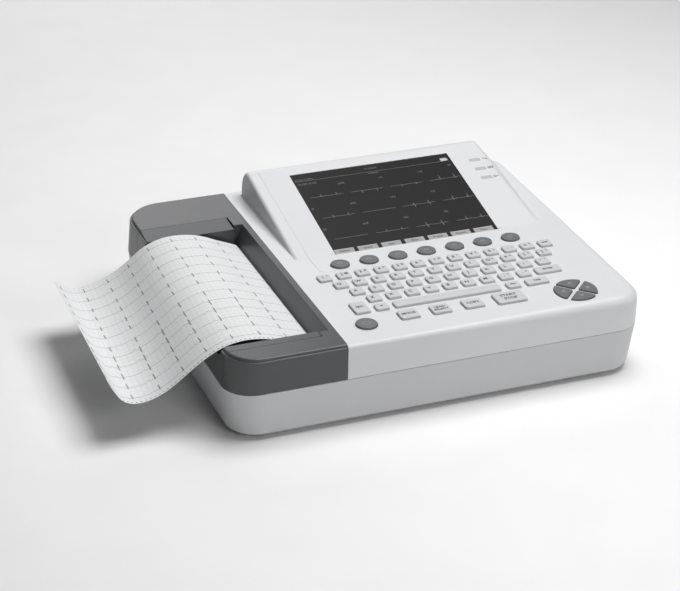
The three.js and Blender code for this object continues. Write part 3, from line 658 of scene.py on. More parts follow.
def bottom_shell():
    floor_round = 4.5
    rounding = [lower_ring(floor_round * (1 - rise), floor_round * fall) for rise, fall in quarter(6)]
    top = PART_Z - GAP / 2
    shell = solids("shell", loft([*reversed(rounding), lower_ring(top, 0)]))
    cut(shell, loft([lower_ring(FLOOR, WALL + 1), lower_ring(FLOOR + 1.5, WALL), lower_ring(top, WALL),
                     ring(top + 1, WALL)]))
    soften(shell, SHELL_EDGE)
    gridded(shell, 14, 14)
    (door_x0, door_x1), (door_y0, door_y1), _ = extent("battery_door")
    holes = [box(door_x0 - GAP, door_x1 + GAP, door_y0 - GAP, door_y1 + GAP, -1, FLOOR + 1)]
    for node in FEET:
        (x0, x1), _, (_, sunk) = extent(node)
        holes.append(prism(circle(*middle(node)[:2], (x1 - x0) / 2 + GAP, 48), -1, sunk + GAP))
    speaker_slots = [rounded(20, 60, 20 + i * 7, 23 + i * 7, (1.4,) * 4, 4) for i in range(6)]
    screws = ((-150, -100), (-150, 105), (0, 150), (186, 20), (-60, -155))
    holes += [prism(slot, -1, FLOOR + 1) for slot in speaker_slots]
    holes += [prism(circle(*screw, 4, 32), -1, 1.8) for screw in screws]
    (x0, x1), _, (z0, z1) = extent("mains_inlet")
    holes.append(box(x0 + 2, x1 - 2, REAR - 12, REAR + 2, z0 + 2, z1 - 2))
    x, _, z = middle("earth_stud")
    holes.append(prism(circle(x, z, 3 + GAP, 24), REAR - 12, REAR + 2, along_y))
    _, (port_front, _), (z0, z1) = extent("usb_socket")
    _, (_, port_rear), _ = extent("patient_socket")
    holes.append(box(RIGHT - 14, RIGHT + 2, port_front - GAP, port_rear + GAP, z0 - GAP, z1 + GAP))
    return smooth(cut(shell, solids("tool", *holes)))


# ---------- upper shell ----------
def fillet_radius(x, y):
    """Round along the deck edge: tight at the dark seam and the rear, wide at the front right."""
    across = min(max((x - SPLIT_X) / (RIGHT - SPLIT_X), 0), 1)
    back = min(max((y - FRONT) / (REAR - FRONT), 0), 1)
    return 3.2 + 7.5 * across * (1 - back)


def deck_solid(draw_in, bottom, top):
    loops = [ring(bottom, draw_in)]
    for rise, fall in quarter(FILLET_STEPS):
        loop = []
        for (x, y), step in zip(CASE, CASE_IN):
            radius = fillet_radius(x, y)
            move = draw_in + radius * fall
            loop.append((x + step.x * move, y + step.y * move, top - radius * (1 - rise)))
        loops.append(loop)
    return loft(loops)


def bezier(points, steps):
    """Points along a cubic curve."""
    line = []
    for i in range(steps + 1):
        t = i / steps
        weights = ((1 - t) ** 3, 3 * t * (1 - t) ** 2, 3 * t * t * (1 - t), t ** 3)
        line.append(tuple(sum(w * p[axis] for w, p in zip(weights, points)) for axis in (0, 1)))
    return line


def beyond_flank(draw_in):
    """All that lies beyond the slanting right flank of the display housing."""
    foot = Vector((WEDGE_RIGHT_FRONT, BEND_Y, DECK_Z))
    rear_foot = Vector((WEDGE_FOOT_RIGHT, WEDGE_FOOT_Y, DECK_Z))
    rear_top = Vector((WEDGE_RIGHT_REAR, WEDGE_TOP_Y, WEDGE_TOP_Z))
    normal = (rear_foot - foot).cross(rear_top - foot).normalized()
    points, faces = box(-500, 500, -500, 500, -draw_in, 400)
    turn = Vector((0, 0, 1)).rotation_difference(normal)
    return [tuple(foot + turn @ Vector(point)) for point in points], faces


def wedge(draw_in, rounding):
    """The display housing, its left end rounded; draw_in moves every face in for the hollow."""
    base = DECK_Z - 8
    crest = (142, DECK_Z + (142 - BEND_Y) * tan(TILT))
    back = bezier([(WEDGE_FOOT_Y, 83), (160.4, 97), (154, 108.2), crest], 10)
    profile = [(BEND_Y, base), (WEDGE_FOOT_Y, base), *back, (BEND_Y, DECK_Z)]
    levels = [(inset(profile, draw_in + rounding * fall), WEDGE_LEFT + draw_in + rounding * (1 - rise))
              for rise, fall in reversed(quarter(6))]
    body = solids("wedge", stack([*levels, (inset(profile, draw_in), RIGHT + 5)], along_x))
    combine(body, "INTERSECT", loft([ring(z, draw_in + WEDGE_INSET) for z in (base - 2, WEDGE_TOP_Z + 5)]))
    return cut(body, beyond_flank(draw_in))


def overlay_grooves():
    """Cutters for the fine lines at the keypad's left and at the right edge of the display's slope."""
    corner, turn = (-66.8, -31.6), 7
    down = [(-68.6, 142), (-67.6, 60)] + [(corner[0], 12 - i) for i in range(36)]
    bend = [(corner[0] + turn * fall, corner[1] + turn * (1 - rise)) for rise, fall in quarter(9)]
    run = [(corner[0] + turn + 4 + i * 8, corner[1]) for i in range(3)]
    left = strip(down + bend + run, 0.7, -0.3, 2, over_bend)
    right = strip([(170.3, 98), (175.4, 7)], 0.7, -0.35, 2, slope)
    return left, right


def left_foot_fillet():
    """A hollow round where the display housing's left end stands on the deck, running out at the bend."""
    levels = []
    for y in (BEND_Y + 3, 8, 14, 24, 40, 60, 85, 110, 135, 150, WEDGE_FOOT_Y - 4, WEDGE_FOOT_Y - 1):
        radius = min(3.2, 0.3 * (y - BEND_Y) * tan(TILT))
        if y > 150:
            radius *= (WEDGE_FOOT_Y - y) / 11
        arc = [(WEDGE_LEFT - radius * (1 - rise), DECK_Z + radius * fall) for rise, fall in quarter(6)]
        section = [(WEDGE_LEFT + 0.4, DECK_Z - 1), (WEDGE_LEFT - radius, DECK_Z - 1), *arc,
                   (WEDGE_LEFT + 0.4, DECK_Z + radius)]
        levels.append((section, y))
    return stack(levels, along_y)


def is_soft_edge(a, b):
    """The edges where the display housing meets the deck or its own right flank."""
    on_deck = all(abs(p.z - DECK_Z) < 0.05 for p in (a, b))
    on_slope = all(abs(DECK_Z + (p.y - BEND_Y) * tan(TILT) - p.z) < 0.05 for p in (a, b))
    bend = on_deck and on_slope
    right = min(a.x, b.x) > WEDGE_RIGHT_REAR - 1 and min(a.y, b.y) > BEND_Y - 1 and abs(a.y - b.y) > 5
    return bend or right and (on_slope or on_deck and max(a.x, b.x) < WEDGE_FOOT_RIGHT)


def top_shell():
    bottom = PART_Z + GAP / 2
    shell = join(solids("shell", deck_solid(0, bottom, DECK_Z)), wedge(0, 4))
    tidy_faces(shell)
    round_edges(shell, is_soft_edge, BLEND, 6)
    merge_near(shell, (WEDGE_FOOT_RIGHT - 2, WEDGE_FOOT_Y - 3, DECK_Z), 6, 0.7)
    join(shell, left_foot_fillet())
    cut(shell, join(solids("tool", deck_solid(WALL, bottom - 5, DECK_Z - WALL)), wedge(WALL, 2)))
    seam = SPLIT_X + GAP / 2
    cut(shell, box(LEFT - 5, seam, FRONT - 5, REAR + 5, 0, 150))
    soften(shell, SHELL_EDGE)
    join(shell, box(seam + 0.4, seam + WALL, FRONT + 4, REAR - 4, DECK_Z - 8.5, DECK_Z - 1))
    gridded(shell, 12, ROW_PITCH)
    screen = rectangle(SCREEN_X[0] - GAP, SCREEN_X[1] + GAP, SCREEN_S[0] - GAP, SCREEN_S[1] + GAP)
    holes = [flared(screen, -14, 0, slope)]
    holes += [flared(lamp_outline(s, 0.15), -8, 0, slope, 0.1) for s in LAMP_PLACES]
    for outline in every_key_outline():
        holes.append(flared(inset(outline, -KEY_GAP), DECK_Z - 6, DECK_Z, flare=0.2))
    cut(shell, solids("tool", *holes))
    return smooth(cut(shell, *overlay_grooves()))


# ---------- keys ----------
ROWS = {
    "number_row_keys": (0, 0, 13, ()),
    "upper_row_keys": (1, 0.5, 12, ()),
    "middle_row_keys": (2, 1, 11, ()),
    "lower_row_keys": (3, 1.5, 9, ((137.8, 25.8),)),
    "space_row_keys": (4, 0, 0, ((-39.8, 12.7), (25.6, 106.7), (92.9, 13.2), (117.4, 22.7))),
}
SINGLE = ("esc_key", "mode_key", "lead_key", "copy_key", "start_key")
ARROW_TURN = {"arrow_right_key": 0, "arrow_up_key": 90, "arrow_left_key": 180, "arrow_down_key": 270}
FUNCTION = [f"function_key_{i + 1}" for i in range(7)]
ROUND = [*FUNCTION, "power_button"]


def row_caps(row):
    """Places and sizes of the caps in one row, as (x, y, width, height)."""
    number, first, count, extra = ROWS[row]
    low = number == 4
    y = FIRST_KEY[1] - number * ROW_PITCH - (1 if low else 0)
    caps = [(FIRST_KEY[0] + (first + i) * KEY_PITCH, CAP["width"]) for i in range(count)]
    return [(x, y, width, 11 if low else CAP["height"]) for x, width in (*caps, *extra)]


def cap_outline(x, y, width, height, radius=CAP["radius"], steps=5):
    return rounded(x - width / 2, x + width / 2, y - height / 2, y + height / 2, (radius,) * 4, steps)


def single_outline(node):
    (x0, x1), (y0, y1), _ = extent(node)
    grow = 2 * FLANGE["square"]
    return cap_outline(*middle(node)[:2], x1 - x0 - grow, y1 - y0 - grow)


def round_outline(node):
    (x0, x1), (y0, y1), _ = extent(node)
    x, y, _ = middle(node)
    half_x, half_y = (x1 - x0) / 2 - FLANGE["round"], (y1 - y0) / 2 - FLANGE["round"]
    return [(x + u * half_x, y + v * half_y) for u, v in circle(0, 0, 1, 48)]


ARROW_MIDDLE = (middle("arrow_up_key")[0], middle("arrow_right_key")[1])


def arrow_outline(node):
    """One quadrant of the arrow pad, with its three corners rounded off."""
    x, y = ARROW_MIDDLE
    half, radius, corner = ARROWS["gap"] / 2, ARROWS["radius"], ARROWS["corner"]
    turn = radians(ARROW_TURN[node])
    reach = Vector((cos(turn), sin(turn)))
    lean = math.pi / 4 - math.asin(half / radius)
    rim = [Vector((cos(turn + a), sin(turn + a))) * radius for a in (lean * (i / 9 - 1) for i in range(19))]
    apex = reach * half * math.sqrt(2)
    first, last = (rim[0] - apex).normalized(), (rim[-1] - apex).normalized()
    points = []
    for start, control, end in (
            (apex + last * corner, apex, apex + first * corner),
            (rim[0] - first * corner, rim[0], rim[1]),
            (rim[-2], rim[-1], rim[-1] - last * corner)):
        points.append([start.lerp(control, t).lerp(control.lerp(end, t), t) for t in (0, 0.25, 0.5, 0.75, 1)])
    outline = points[0] + points[1] + rim[2:-2] + points[2]
    return [(x + p.x, y + p.y) for p in outline]


KINDS = {  # the keys of each kind, their outline, top and dish
    "square": (SINGLE, single_outline, KEY_TOP, KEY_DISH),
    "arrow": (ARROW_TURN, arrow_outline, ARROWS["top"], 0),
    "round": (ROUND, round_outline, ROUND_TOP, ROUND_DISH),
}


def every_key_outline():
    outlines = [cap_outline(*place) for row in ROWS for place in row_caps(row)]
    return outlines + [outline_of(node) for nodes, outline_of, _, _ in KINDS.values() for node in nodes]


def make_keys():
    """Rows of caps on one web, and single caps on flanges wider than their openings in the deck."""
    for row in ROWS:
        caps = [pillow(cap_outline(*place), WEB_TOP - 1, KEY_TOP, KEY_ROUND["square"], KEY_DISH)
                for place in row_caps(row)]
        (x0, x1), (y0, y1), _ = extent(row)
        key = join(solids("key", *caps), box(x0, x1, y0, y1, KEY_LOW, WEB_TOP))
        dress(smooth(tidy_faces(key)), row)
    for kind, (nodes, outline_of, top, dish) in KINDS.items():
        for node in nodes:
            outline = outline_of(node)
            key = solids("key", pillow(outline, KEY_LOW + 0.5, top, KEY_ROUND[kind], dish))
            join(key, prism(inset(outline, -FLANGE[kind]), KEY_LOW, WEB_TOP))
            dress(smooth(tidy_faces(key)), node)


LEGENDS = {
    "number_row_keys": ("1234567890-=", "!@#$%^&*()_+"),
    "upper_row_keys": ("QWERTYUIOP[]", "        <>{}"),
    "middle_row_keys": ("ASDFGHJKL;'", "         :\""),
    "lower_row_keys": ("ZXCVBNM,.", "       <>"),
}
ROW_WORDS = {  # cap number, word, size, and how far it is moved back
    "number_row_keys": ((12, "BKSP", 3, 0),),
    "lower_row_keys": ((9, "ENTER", 3.6, 0),),
    "space_row_keys": ((0, "*", 6, -1), (2, "FN", 4, 0), (3, "TAB", 4, 0)),
}
TITLES = {
    "esc_key": [("ESC", 4.6, 0, 0)],
    "mode_key": [("MODE", 4.8, 0, 0)],
    "lead_key": [("LEAD", 4.4, 0, 2.3), ("SELECT", 4.4, 0, -2.3)],
    "copy_key": [("COPY", 4.8, 0, 0)],
    "start_key": [("START", 5.6, 0, 3.2), ("STOP", 5.6, 0, -3.2)],
}


def row_legends(row):
    caps = row_caps(row)
    items = []
    for (x, y, _, _), letter, small in zip(caps, *LEGENDS.get(row, ("", ""))):
        items.append((letter, 5.6, x - 1.8, y + 0.1))
        if small != " ":
            items.append((small, 3.8, x + 3, y + 1.6))
    for number, word, size, back in ROW_WORDS.get(row, ()):
        x, y, _, _ = caps[number]
        items.append((word, size, x, y + back))
    return items


def make_legends():
    height, bold = KEY_TOP - KEY_DISH + 0.04, 0.13
    for row in ROWS:
        print_on(lettering(row_legends(row), height, bold=bold), f"{row}_legends", row, INK)
    for node, lines in TITLES.items():
        x, y, _ = middle(node)
        items = [(text, size, x + dx, y + dy) for text, size, dx, dy in lines]
        print_on(lettering(items, height, bold=bold), f"{node}_legend", node, INK)
    face = ROUND_TOP - ROUND_DISH
    for i, node in enumerate(FUNCTION):
        x, y, _ = middle(node)
        legend = lettering([(f"F{i + 1}", 5.4, x, y)], face + 0.02, bold=0.15)
        print_on(legend, f"{node}_legend", node, FAINT_INK)
    for node, turn in ARROW_TURN.items():
        reach = Vector((cos(radians(turn)), sin(radians(turn))))
        side = Vector((-reach.y, reach.x))
        centre = Vector(ARROW_MIDDLE) + reach * 12.5
        foot = centre - reach * 1.4
        head = [tuple(p) for p in (centre + reach * 2.6, foot + side * 2.8, foot - side * 2.8)]
        mark = prism(head, ARROWS["top"] - 0.1, ARROWS["top"] + PRINT)
        print_on([mark], f"{node}_legend", node, FAINT_INK)
    x, y, _ = middle("power_button")
    arc = [(x + 3.4 * sin(radians(a)), y + 3.4 * cos(radians(a))) for a in range(35, 326, 10)]
    bar = [(x, y + 0.6), (x, y + 4.4)]
    shapes = [strip(line, 0.7, face - 0.1, face + 0.05) for line in (arc, bar)]
    print_on(shapes, "power_button_legend", "power_button", FAINT_INK)
    around = circle(x, y, 11.4, 60)
    raised = solids("ring", strip([*around, around[0]], 1, DECK_Z - 0.05, DECK_Z + 0.3))
    print_on(soften(raised, 0.12), "power_ring", "top_shell", MATERIAL["shell_white"])


# ---------- display ----------
def lamp_outline(s, grow=0.0):
    return cap_outline(LAMP["x"], s, LAMP["width"] + 2 * grow, LAMP["height"] + 2 * grow, 1.2 + grow, 6)


def outlined(x0, x1, s0, s1):
    """A closed line round a small box."""
    return [(x0, s0), (x1, s0), (x1, s1), (x0, s1), (x0, s0)]


def make_lamps():
    for node, s in zip(("charge_lamp", "battery_lamp", "mains_lamp"), LAMP_PLACES):
        dress(smooth(solids("lamp", pillow(lamp_outline(s), -4, 0.25, 0.6, place=slope))), node)
    x = LAMP["x"] + 10.9
    charge, battery, mains = LAMP_PLACES
    lines = [
        outlined(x - 2.6, x + 2.2, battery - 1.3, battery + 1.3),
        [(x + 2.8, battery - 0.6), (x + 2.8, battery + 0.6)],
        [(x - 1.4, battery), (x + 1, battery)],
        outlined(x - 2.8, x - 0.4, charge - 1.2, charge + 1.2),
        [(x + 0.5, charge), (x + 2.6, charge)],
        [(x - 2.4 + i * 0.4, mains + 1.1 * sin(i * 0.52)) for i in range(13)],
    ]
    print_on([strip(line, 0.8, -0.01, 0.05, slope) for line in lines], "lamp_icons", "top_shell", INK)


def beat(t, tall, deep, wave):
    """Height of an electrocardiogram trace at a distance t along one beat of length 1."""
    bumps = ((0.22, 0.035, wave * 0.5), (0.60, 0.05, wave))
    value = sum(size * math.exp(-((t - at) / width) ** 2) for at, width, size in bumps)
    spikes = ((0.32, 0.02, -0.1 * tall), (0.36, 0.022, tall), (0.395, 0.02, -deep))
    return value + sum(size * max(0, 1 - abs(t - at) / half) for at, half, size in spikes)


def trace(start, length, level, pitch, offset, shape, step):
    """A trace as a line of (along, across) points."""
    reach = [i * step for i in range(int(length / step) + 1)]
    return [(start + along, level + beat(((along + offset) / pitch) % 1, *shape)) for along in reach]


SCREEN_SHAPES = (
    ((4.5, 0.3, 0.9), (-4.5, -0.2, -0.7), (-3, -0.2, -0.6), (8, 1.2, 1.2)),
    ((4.5, 0.6, 0.8), (0.4, 0.1, 0.3), (5, 5, 0.8), (7, 1.5, 1)),
    ((0.8, 0.2, 0.5), (3.6, 0.4, 0.6), (6, 5.5, 0.9), (6, 1, 1.1)),
)
SCREEN_LABELS = (("", "aVR", "V1", "V4"), ("II", "aVL", "V2", "V5"), ("III", "aVF", "V3", "V6"))
SOFT_KEYS = ("Patient", "Speed", "Gain", "Filter", "Freeze", "Record", "Menu")


def make_display():
    (left, right), (low, high), face = SCREEN_X, SCREEN_S, SCREEN_FACE

    def flat(x0, x1, s0, s1):
        return prism(rectangle(x0, x1, s0, s1), face, face + 0.08, slope)

    outline = rounded(left, right, low, high, (0.8,) * 4, 4)
    dress(smooth(solids("window", pillow(outline, face - 0.9, face, 0.25, place=slope))), "lcd_window")
    shapes = [strip([(left + 2, high - 11.5), (right - 2, high - 11.5)], 0.4, face, face + PRINT, slope)]
    x = (left + right) / 2 - 1
    words = (("RATE 72 BPM", left + 12, 9.5), ("FILTER 35 HZ", left + 13, 16.5), ("12 LEADS", x, 6),
             ("10:30:00", x, 14), ("98", right - 5, 19))
    items = [(text, 3.4, x, high - below) for text, x, below in words]
    for row, row_shapes in enumerate(SCREEN_SHAPES):
        for column, shape in enumerate(row_shapes):
            x, s = left + 8.3 + 42.8 * column, high - 39.5 - 34 * row
            line = trace(x, 34, s, 16, 10.2, shape, 0.2)
            shapes.append(strip(line, 0.45, face, face + PRINT, slope))
            if SCREEN_LABELS[row][column]:
                items.append((SCREEN_LABELS[row][column], 4.4, x - 4.5, s + 16.5))
    print_on(shapes, "display_traces", "lcd_window", DISPLAY_DIM)
    print_on(lettering(items, face + 0.03, SLOPE), "display_text", "lcd_window", DISPLAY_DIM)
    tabs = [(left + 0.4 + 24.5 * i, left + 20.8 + 24.5 * i) for i in range(7)]
    shapes = [flat(x0, x1, low + 0.4, low + 7.2) for x0, x1 in tabs]
    print_on(shapes, "display_tabs", "lcd_window", DISPLAY_GREY)
    rims = [[(x0, low + 6.9), (x1, low + 6.9)] for x0, x1 in tabs]
    shapes = [strip(rim, 0.5, face + 0.09, face + 0.12, slope) for rim in rims]
    shapes.append(flat(right - 10.5, right - 3.5, high - 11, high - 6.5))
    shapes.append(flat(right - 3.3, right - 2.5, high - 9.7, high - 7.8))
    print_on(shapes, "display_highlights", "lcd_window", DISPLAY_LIGHT)
    labels = [(text, 3.6, (x0 + x1) / 2, low + 3.7) for text, (x0, x1) in zip(SOFT_KEYS, tabs)]
    print_on(lettering(labels, face + 0.13, SLOPE), "display_labels", "lcd_window", MATERIAL["display_glass"])


# ---------- recorder ----------
def dark_body(bottom):
    """The dark casing over the whole case plan: leaning walls, a ledge and an inset top plate."""
    levels = [ring(bottom, 0.35), ring(bottom + 0.4, 0)]
    wall_top = {"left": 1.8, "rear": 0.8}
    for below, every in ((0.7, 0.25), (0.2, 0.4), (0, 0.8)):
        levels.append(ring(LEDGE_Z - below, every, **wall_top))
    levels.append(ring(LEDGE_Z + 0.01, 1.5, left=2.5, rear=0.9))
    for i, (rise, fall) in enumerate(quarter(6)):
        levels.append(ring(COVER_Z - 1.1 + 1.1 * rise, 1.55 + 1.9 * fall, left=2.8 + 0.2 * i / 6,
                           rear=1.5 + 0.8 * fall))
    return loft(levels)


def recorder_bezel():
    seam = SPLIT_X - GAP / 2
    inner_x = seam - WALL
    edge = NOTCH_X + NOTCH / 2
    roof = COVER_Z - WALL
    low = 30
    body = solids("bezel", dark_body(PART_Z + GAP / 2))
    foot_x, foot_z = RECESS_FOOT
    cuts = [
        box(seam, RIGHT + 5, FRONT - 5, REAR + 5, low, 120),
        box(LEFT - 5, edge, DRAWER_FRONT - GAP, DRAWER_REAR + GAP, low, 120),
        prism([(RECESS_TOP_X, COVER_Z + 5), (RECESS_TOP_X, COVER_Z), (foot_x, foot_z), (foot_x, low),
               (edge - 2, low), (edge - 2, COVER_Z + 5)], *RECESS, along_y),
        prism([(inner_x, low), (inner_x, roof), (RECESS_TOP_X + WALL, roof), (foot_x + WALL, foot_z - 1),
               (foot_x - 1, foot_z - 1), (foot_x - 1, low)], *RECESS, along_y),
        box(edge - 1, inner_x, RECESS[1] + WALL, DRAWER_REAR + GAP + WALL, low, roof),
        box(edge - 1, inner_x, DRAWER_FRONT - GAP - WALL, RECESS[0] - WALL + 1, low, roof),
        box(inner_x - 1, seam + 1, FRONT + 6, REAR - 6, low, DECK_Z - 8.5),
    ]
    for y0, y1 in ((DRAWER_REAR + GAP + WALL, REAR), (FRONT, DRAWER_FRONT - GAP - WALL)):
        hollow = solids("tool", loft([ring(low, WALL + 3), ring(roof, WALL + 3)]))
        cuts.append(combine(hollow, "INTERSECT", box(LEFT, inner_x, y0, y1, low, roof)))
    return soften(cut(body, *cuts), SHELL_EDGE)


RAMP = ((-128, 61), (-150, 66.5), (-175, 69.5), (-198, 69.5))


def paper_drawer():
    edge = NOTCH_X - NOTCH / 2
    low = 20
    body = solids("drawer", dark_body(PART_Z + 0.5))
    combine(body, "INTERSECT", box(LEFT - 5, edge, DRAWER_FRONT, DRAWER_REAR, low, 120))
    ramp = bezier(RAMP, 16)
    start = ramp[0][0]
    plate = 2.2
    above = [(edge + 2, 120), (edge + 2, low), (start, low), *ramp, (LEFT - 5, 66.5), (LEFT - 5, 120)]
    below = [(start - plate, 57), *[(x, z - plate - 0.3) for x, z in ramp[1:-1]],
             (-200.5, 66.5), (-200.5, low), (start - plate, low)]
    fall = [(DRAWER_REAR - 1, COVER_Z), (DRAWER_REAR - 1, COVER_Z + 5), (TROUGH[1] - 2, COVER_Z + 5),
            (TROUGH[1] - 2, COVER_Z - 1.9)]
    cuts = [
        prism(above, *TROUGH, along_y),
        prism(below, *TROUGH, along_y),
        box(start - plate - 1, start + 1, *TROUGH, low, 46),
        box(-200.5, edge + 1, TROUGH[1] + WALL, DRAWER_REAR - WALL, low, COVER_Z - WALL - 2),
        prism(circle(*PLATEN, 2.5 + GAP, 32), TROUGH[0] - 6, DRAWER_REAR - WALL - 1, along_y),
        prism(fall, LEFT - 5, edge + 1, along_x),
    ]
    return soften(cut(body, *cuts), SHELL_EDGE)


# The sheet's two long edges, as (x, z) from the tear bar to the free end.
REAR_EDGE = [(-109.6, 57.6), (-111.6, 61), (-119, 64.6), (-132.5, 70.2), (-144, 75.4), (-156, 79.3),
             (-172, 81.6), (-187, 81), (-201, 77), (-212, 70.6), (-221, 63.4), (-236, 52.9), (-253, 45.7),
             (-266, 42.6), (-276, 42), (-286.5, 46), (-295, 52.8)]
FRONT_EDGE = [(-109.6, 57.6), (-111.6, 61), (-119, 63.8), (-132, 67.8), (-144, 72), (-156, 75.3),
              (-170, 77.6), (-182, 77.8), (-197, 75), (-212, 68), (-226, 58.6), (-242.5, 46), (-255, 38.4),
              (-268, 33.8), (-282, 33.4), (-293, 39.6), (-302.5, 55)]


def smooth_line(points, count):
    """Points at even spacing along a smooth curve through the given ones, and the curve's length."""
    fine = []
    for i in range(len(points) - 1):
        p = [Vector(points[min(max(i + k, 0), len(points) - 1)]) for k in (-1, 0, 1, 2)]
        for k in range(12):
            t = k / 12
            fine.append(0.5 * (2 * p[1] + (p[2] - p[0]) * t + (2 * p[0] - 5 * p[1] + 4 * p[2] - p[3]) * t * t
                               + (3 * p[1] - p[0] - 3 * p[2] + p[3]) * t ** 3))
    fine.append(Vector(points[-1]))
    reach = [0]
    for a, b in zip(fine, fine[1:]):
        reach.append(reach[-1] + (b - a).length)
    line, at = [], 0
    for i in range(count + 1):
        goal = reach[-1] * i / count
        while at < len(fine) - 2 and reach[at + 1] < goal:
            at += 1
        line.append(fine[at].lerp(fine[at + 1], (goal - reach[at]) / (reach[at + 1] - reach[at])))
    return line, reach[-1]


PAPER_STEPS = 96
rear_line, rear_length = smooth_line(REAR_EDGE, PAPER_STEPS)
front_line, front_length = smooth_line(FRONT_EDGE, PAPER_STEPS)
PAPER_LENGTH = (rear_length + front_length) / 2
PAPER_WIDTH = PAPER_Y[1] - PAPER_Y[0]


def paper_point(u, v, w):
    """A point on the printed sheet: u along it from the tear bar, v across it from the front, w above it."""
    place = min(max(u / PAPER_LENGTH, 0), 1) * PAPER_STEPS
    i = min(int(place), PAPER_STEPS - 1)
    share = v / PAPER_WIDTH
    ends = [front_line[k].lerp(rear_line[k], share) for k in (i, i + 1)]
    at = ends[0].lerp(ends[1], place - i)
    along = (ends[1] - ends[0]).normalized()
    return (at.x + along.y * w, PAPER_Y[0] + v, at.y - along.x * w)


def make_paper():
    across = 36
    thick = 0.15
    points, faces, chart = [], [], []
    for w in (0, -thick):
        for i in range(PAPER_STEPS + 1):
            for k in range(across + 1):
                u, v = PAPER_LENGTH * i / PAPER_STEPS, PAPER_WIDTH * k / across
                points.append(paper_point(u, v, w))
                chart.append((u, v))
    row, layer = across + 1, (PAPER_STEPS + 1) * (across + 1)
    for i in range(PAPER_STEPS):
        for k in range(across):
            a = i * row + k
            faces.append((a, a + 1, a + row + 1, a + row))
            faces.append((a + layer, a + layer + row, a + layer + row + 1, a + layer + 1))
    rim = [*range(across), *range(across, layer - 1, row)]
    rim += [*range(layer - 1, PAPER_STEPS * row, -1), *range(PAPER_STEPS * row, 0, -row)]
    for a, b in zip(rim, rim[1:] + rim[:1]):
        faces.append((a, a + layer, b + layer, b))
    paper = new_object("chart", points, faces)
    layer_uv = paper.data.uv_layers.new(name="chart")
    for loop in paper.data.loops:
        layer_uv.data[loop.index].uv = chart[loop.vertex_index]
    dress(smooth(paper), "chart_paper", CHART)
    return paper


CHART_SHAPES = ((5.5, 1, 1.4), (6.5, 1, 1.6), (3, 3.5, 0.8), (-5.5, -1, -1.2), (3.5, 4, 0.7),
                (6, 1, 1.2), (2, 7, 1.1), (3, 7.5, 2), (5.5, 5, 2.1), (7.5, 3, 1.9),
                (7.5, 1.5, 1.6), (6.5, 1, 1.4))


def make_print():
    shapes, heavy = [], []
    count = len(CHART_SHAPES)
    start, pitch, offset = 5, 25.4, 11
    for number, shape in enumerate(CHART_SHAPES):
        level = 9 + (PAPER_WIDTH - 20) * (count - 1 - number) / (count - 1)
        line = trace(start, PAPER_LENGTH - 8, level, pitch, offset, shape, 0.5)
        shapes.append(strip(line, 0.35, -0.01, 0.05, paper_point))
        for k in range(10):
            u = start + pitch * (k + 0.36) - offset
            if 7 < u < PAPER_LENGTH - 4:
                spike = [(u, level - abs(shape[1])), (u + 0.5, level + abs(shape[0]))]
                heavy.append(strip(spike, 0.8, 0.02, 0.08, paper_point))
    marks = [strip([(u, 2.2), (u + 1.6, 2.2)], 0.9, -0.01, 0.06, paper_point)
             for u in (6 + 4.2 * i for i in range(int((PAPER_LENGTH - 12) / 4.2)))]
    print_on(shapes, "chart_traces", "chart_paper", FAINT_INK)
    print_on(heavy + marks, "chart_beats", "chart_paper", TRACE_INK)


# ---------- turned and small pieces ----------
AXIS = 0.01  # radius of a turned shape's ends at its axis


def shaft(node, radius, thick_radius, start, end):
    """A turned piece along Y with one thicker stretch, between start and end."""
    x, _, z = middle(node)
    _, (y0, y1), _ = extent(node)
    profile = [(AXIS, y0), (radius, y0), (radius, start), (thick_radius, start), (thick_radius, end),
               (radius, end), (radius, y1), (AXIS, y1)]
    dress(soften(solids("turned", lathe(profile, x, z)), 0.25), node)


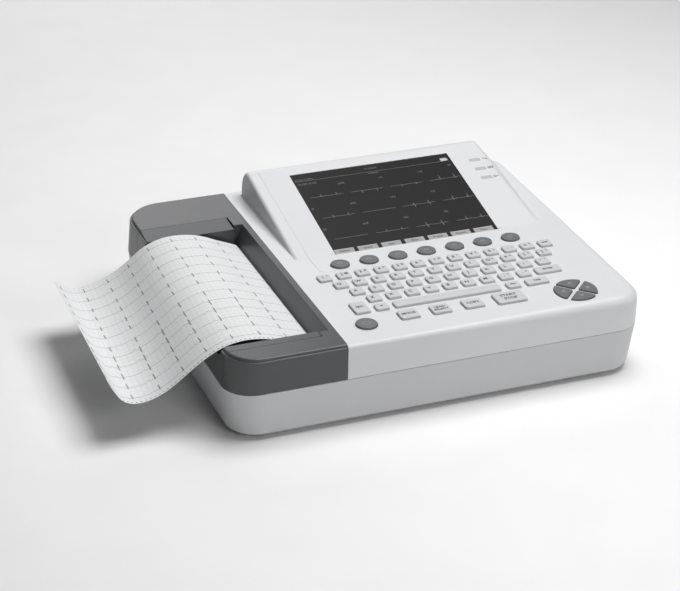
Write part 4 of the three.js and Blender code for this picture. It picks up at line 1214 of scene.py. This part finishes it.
def make_turned():
    shaft("platen_roller", 2.5, 8, -134, 84)
    _, (y0, y1), _ = extent("roll_spindle")
    shaft("roll_spindle", 5, 8, y0 + 10, y1 - 10)
    shaft("earth_stud", 3, 6, REAR + 0.2, REAR + 2.5)
    (x0, x1), (y0, y1), _ = extent("paper_roll")
    x, _, z = middle("paper_roll")
    core, outer, edge = 8.3, (x1 - x0) / 2, 0.3
    roll = tube([(core, y0), (outer - edge, y0), (outer, y0 + edge), (outer, y1 - edge), (outer - edge, y1),
                 (core, y1)], x, z)
    dress(smooth(solids("roll", roll)), "paper_roll")
    for node in FEET:
        (x0, x1), _, (low, high) = extent(node)
        outline = circle(*middle(node)[:2], (x1 - x0) / 2, 48)
        rims = ((low, 1.2), (low + 0.35, 0.35), (low + 1.2, 0), (high, 0))
        foot = stack([(inset(outline, draw_in), z) for z, draw_in in rims])
        dress(smooth(solids("foot", foot)), node)


def refined(node, width):
    """A carried-over CAD shape with its edges rounded."""
    piece = shown(node, frame["nodes"][node].data.copy())
    with editing(piece.data) as work:
        bmesh.ops.remove_doubles(work, verts=work.verts, dist=2e-6)
        flat = [edge for edge in work.edges
                if len(edge.link_faces) == 2 and edge.calc_face_angle(0) < radians(0.2)]
        bmesh.ops.beautify_fill(work, faces=work.faces, edges=flat)
    dress(soften(piece, width, join_faces=False), node)


REFINED = ("battery_door", "door_screw", "tear_bar", "print_head", "mains_inlet", "mains_switch",
           "fuse_drawer", "patient_socket", "network_socket", "usb_socket", "drive_bracket", "drive_motor",
           "platen_gear", "idler_gear", "motor_pinion", "battery_pack", "lcd_panel")
FINE = ("tear_bar", "door_screw", "motor_pinion", "usb_socket")


def make_small_pieces():
    for node in REFINED:
        refined(node, 0.12 if node in FINE else 0.25)
    for node, obj in frame["nodes"].items():
        if not obj.hide_render:
            paint(obj, MATERIAL[SLOT[node]])


make_camera()
make_studio()
make_floor()
dress(bottom_shell(), "bottom_shell")
dress(top_shell(), "top_shell")
dress(recorder_bezel(), "recorder_bezel")
dress(paper_drawer(), "paper_drawer")
make_keys()
make_legends()
make_display()
make_lamps()
make_paper()
make_print()
make_turned()
make_small_pieces()
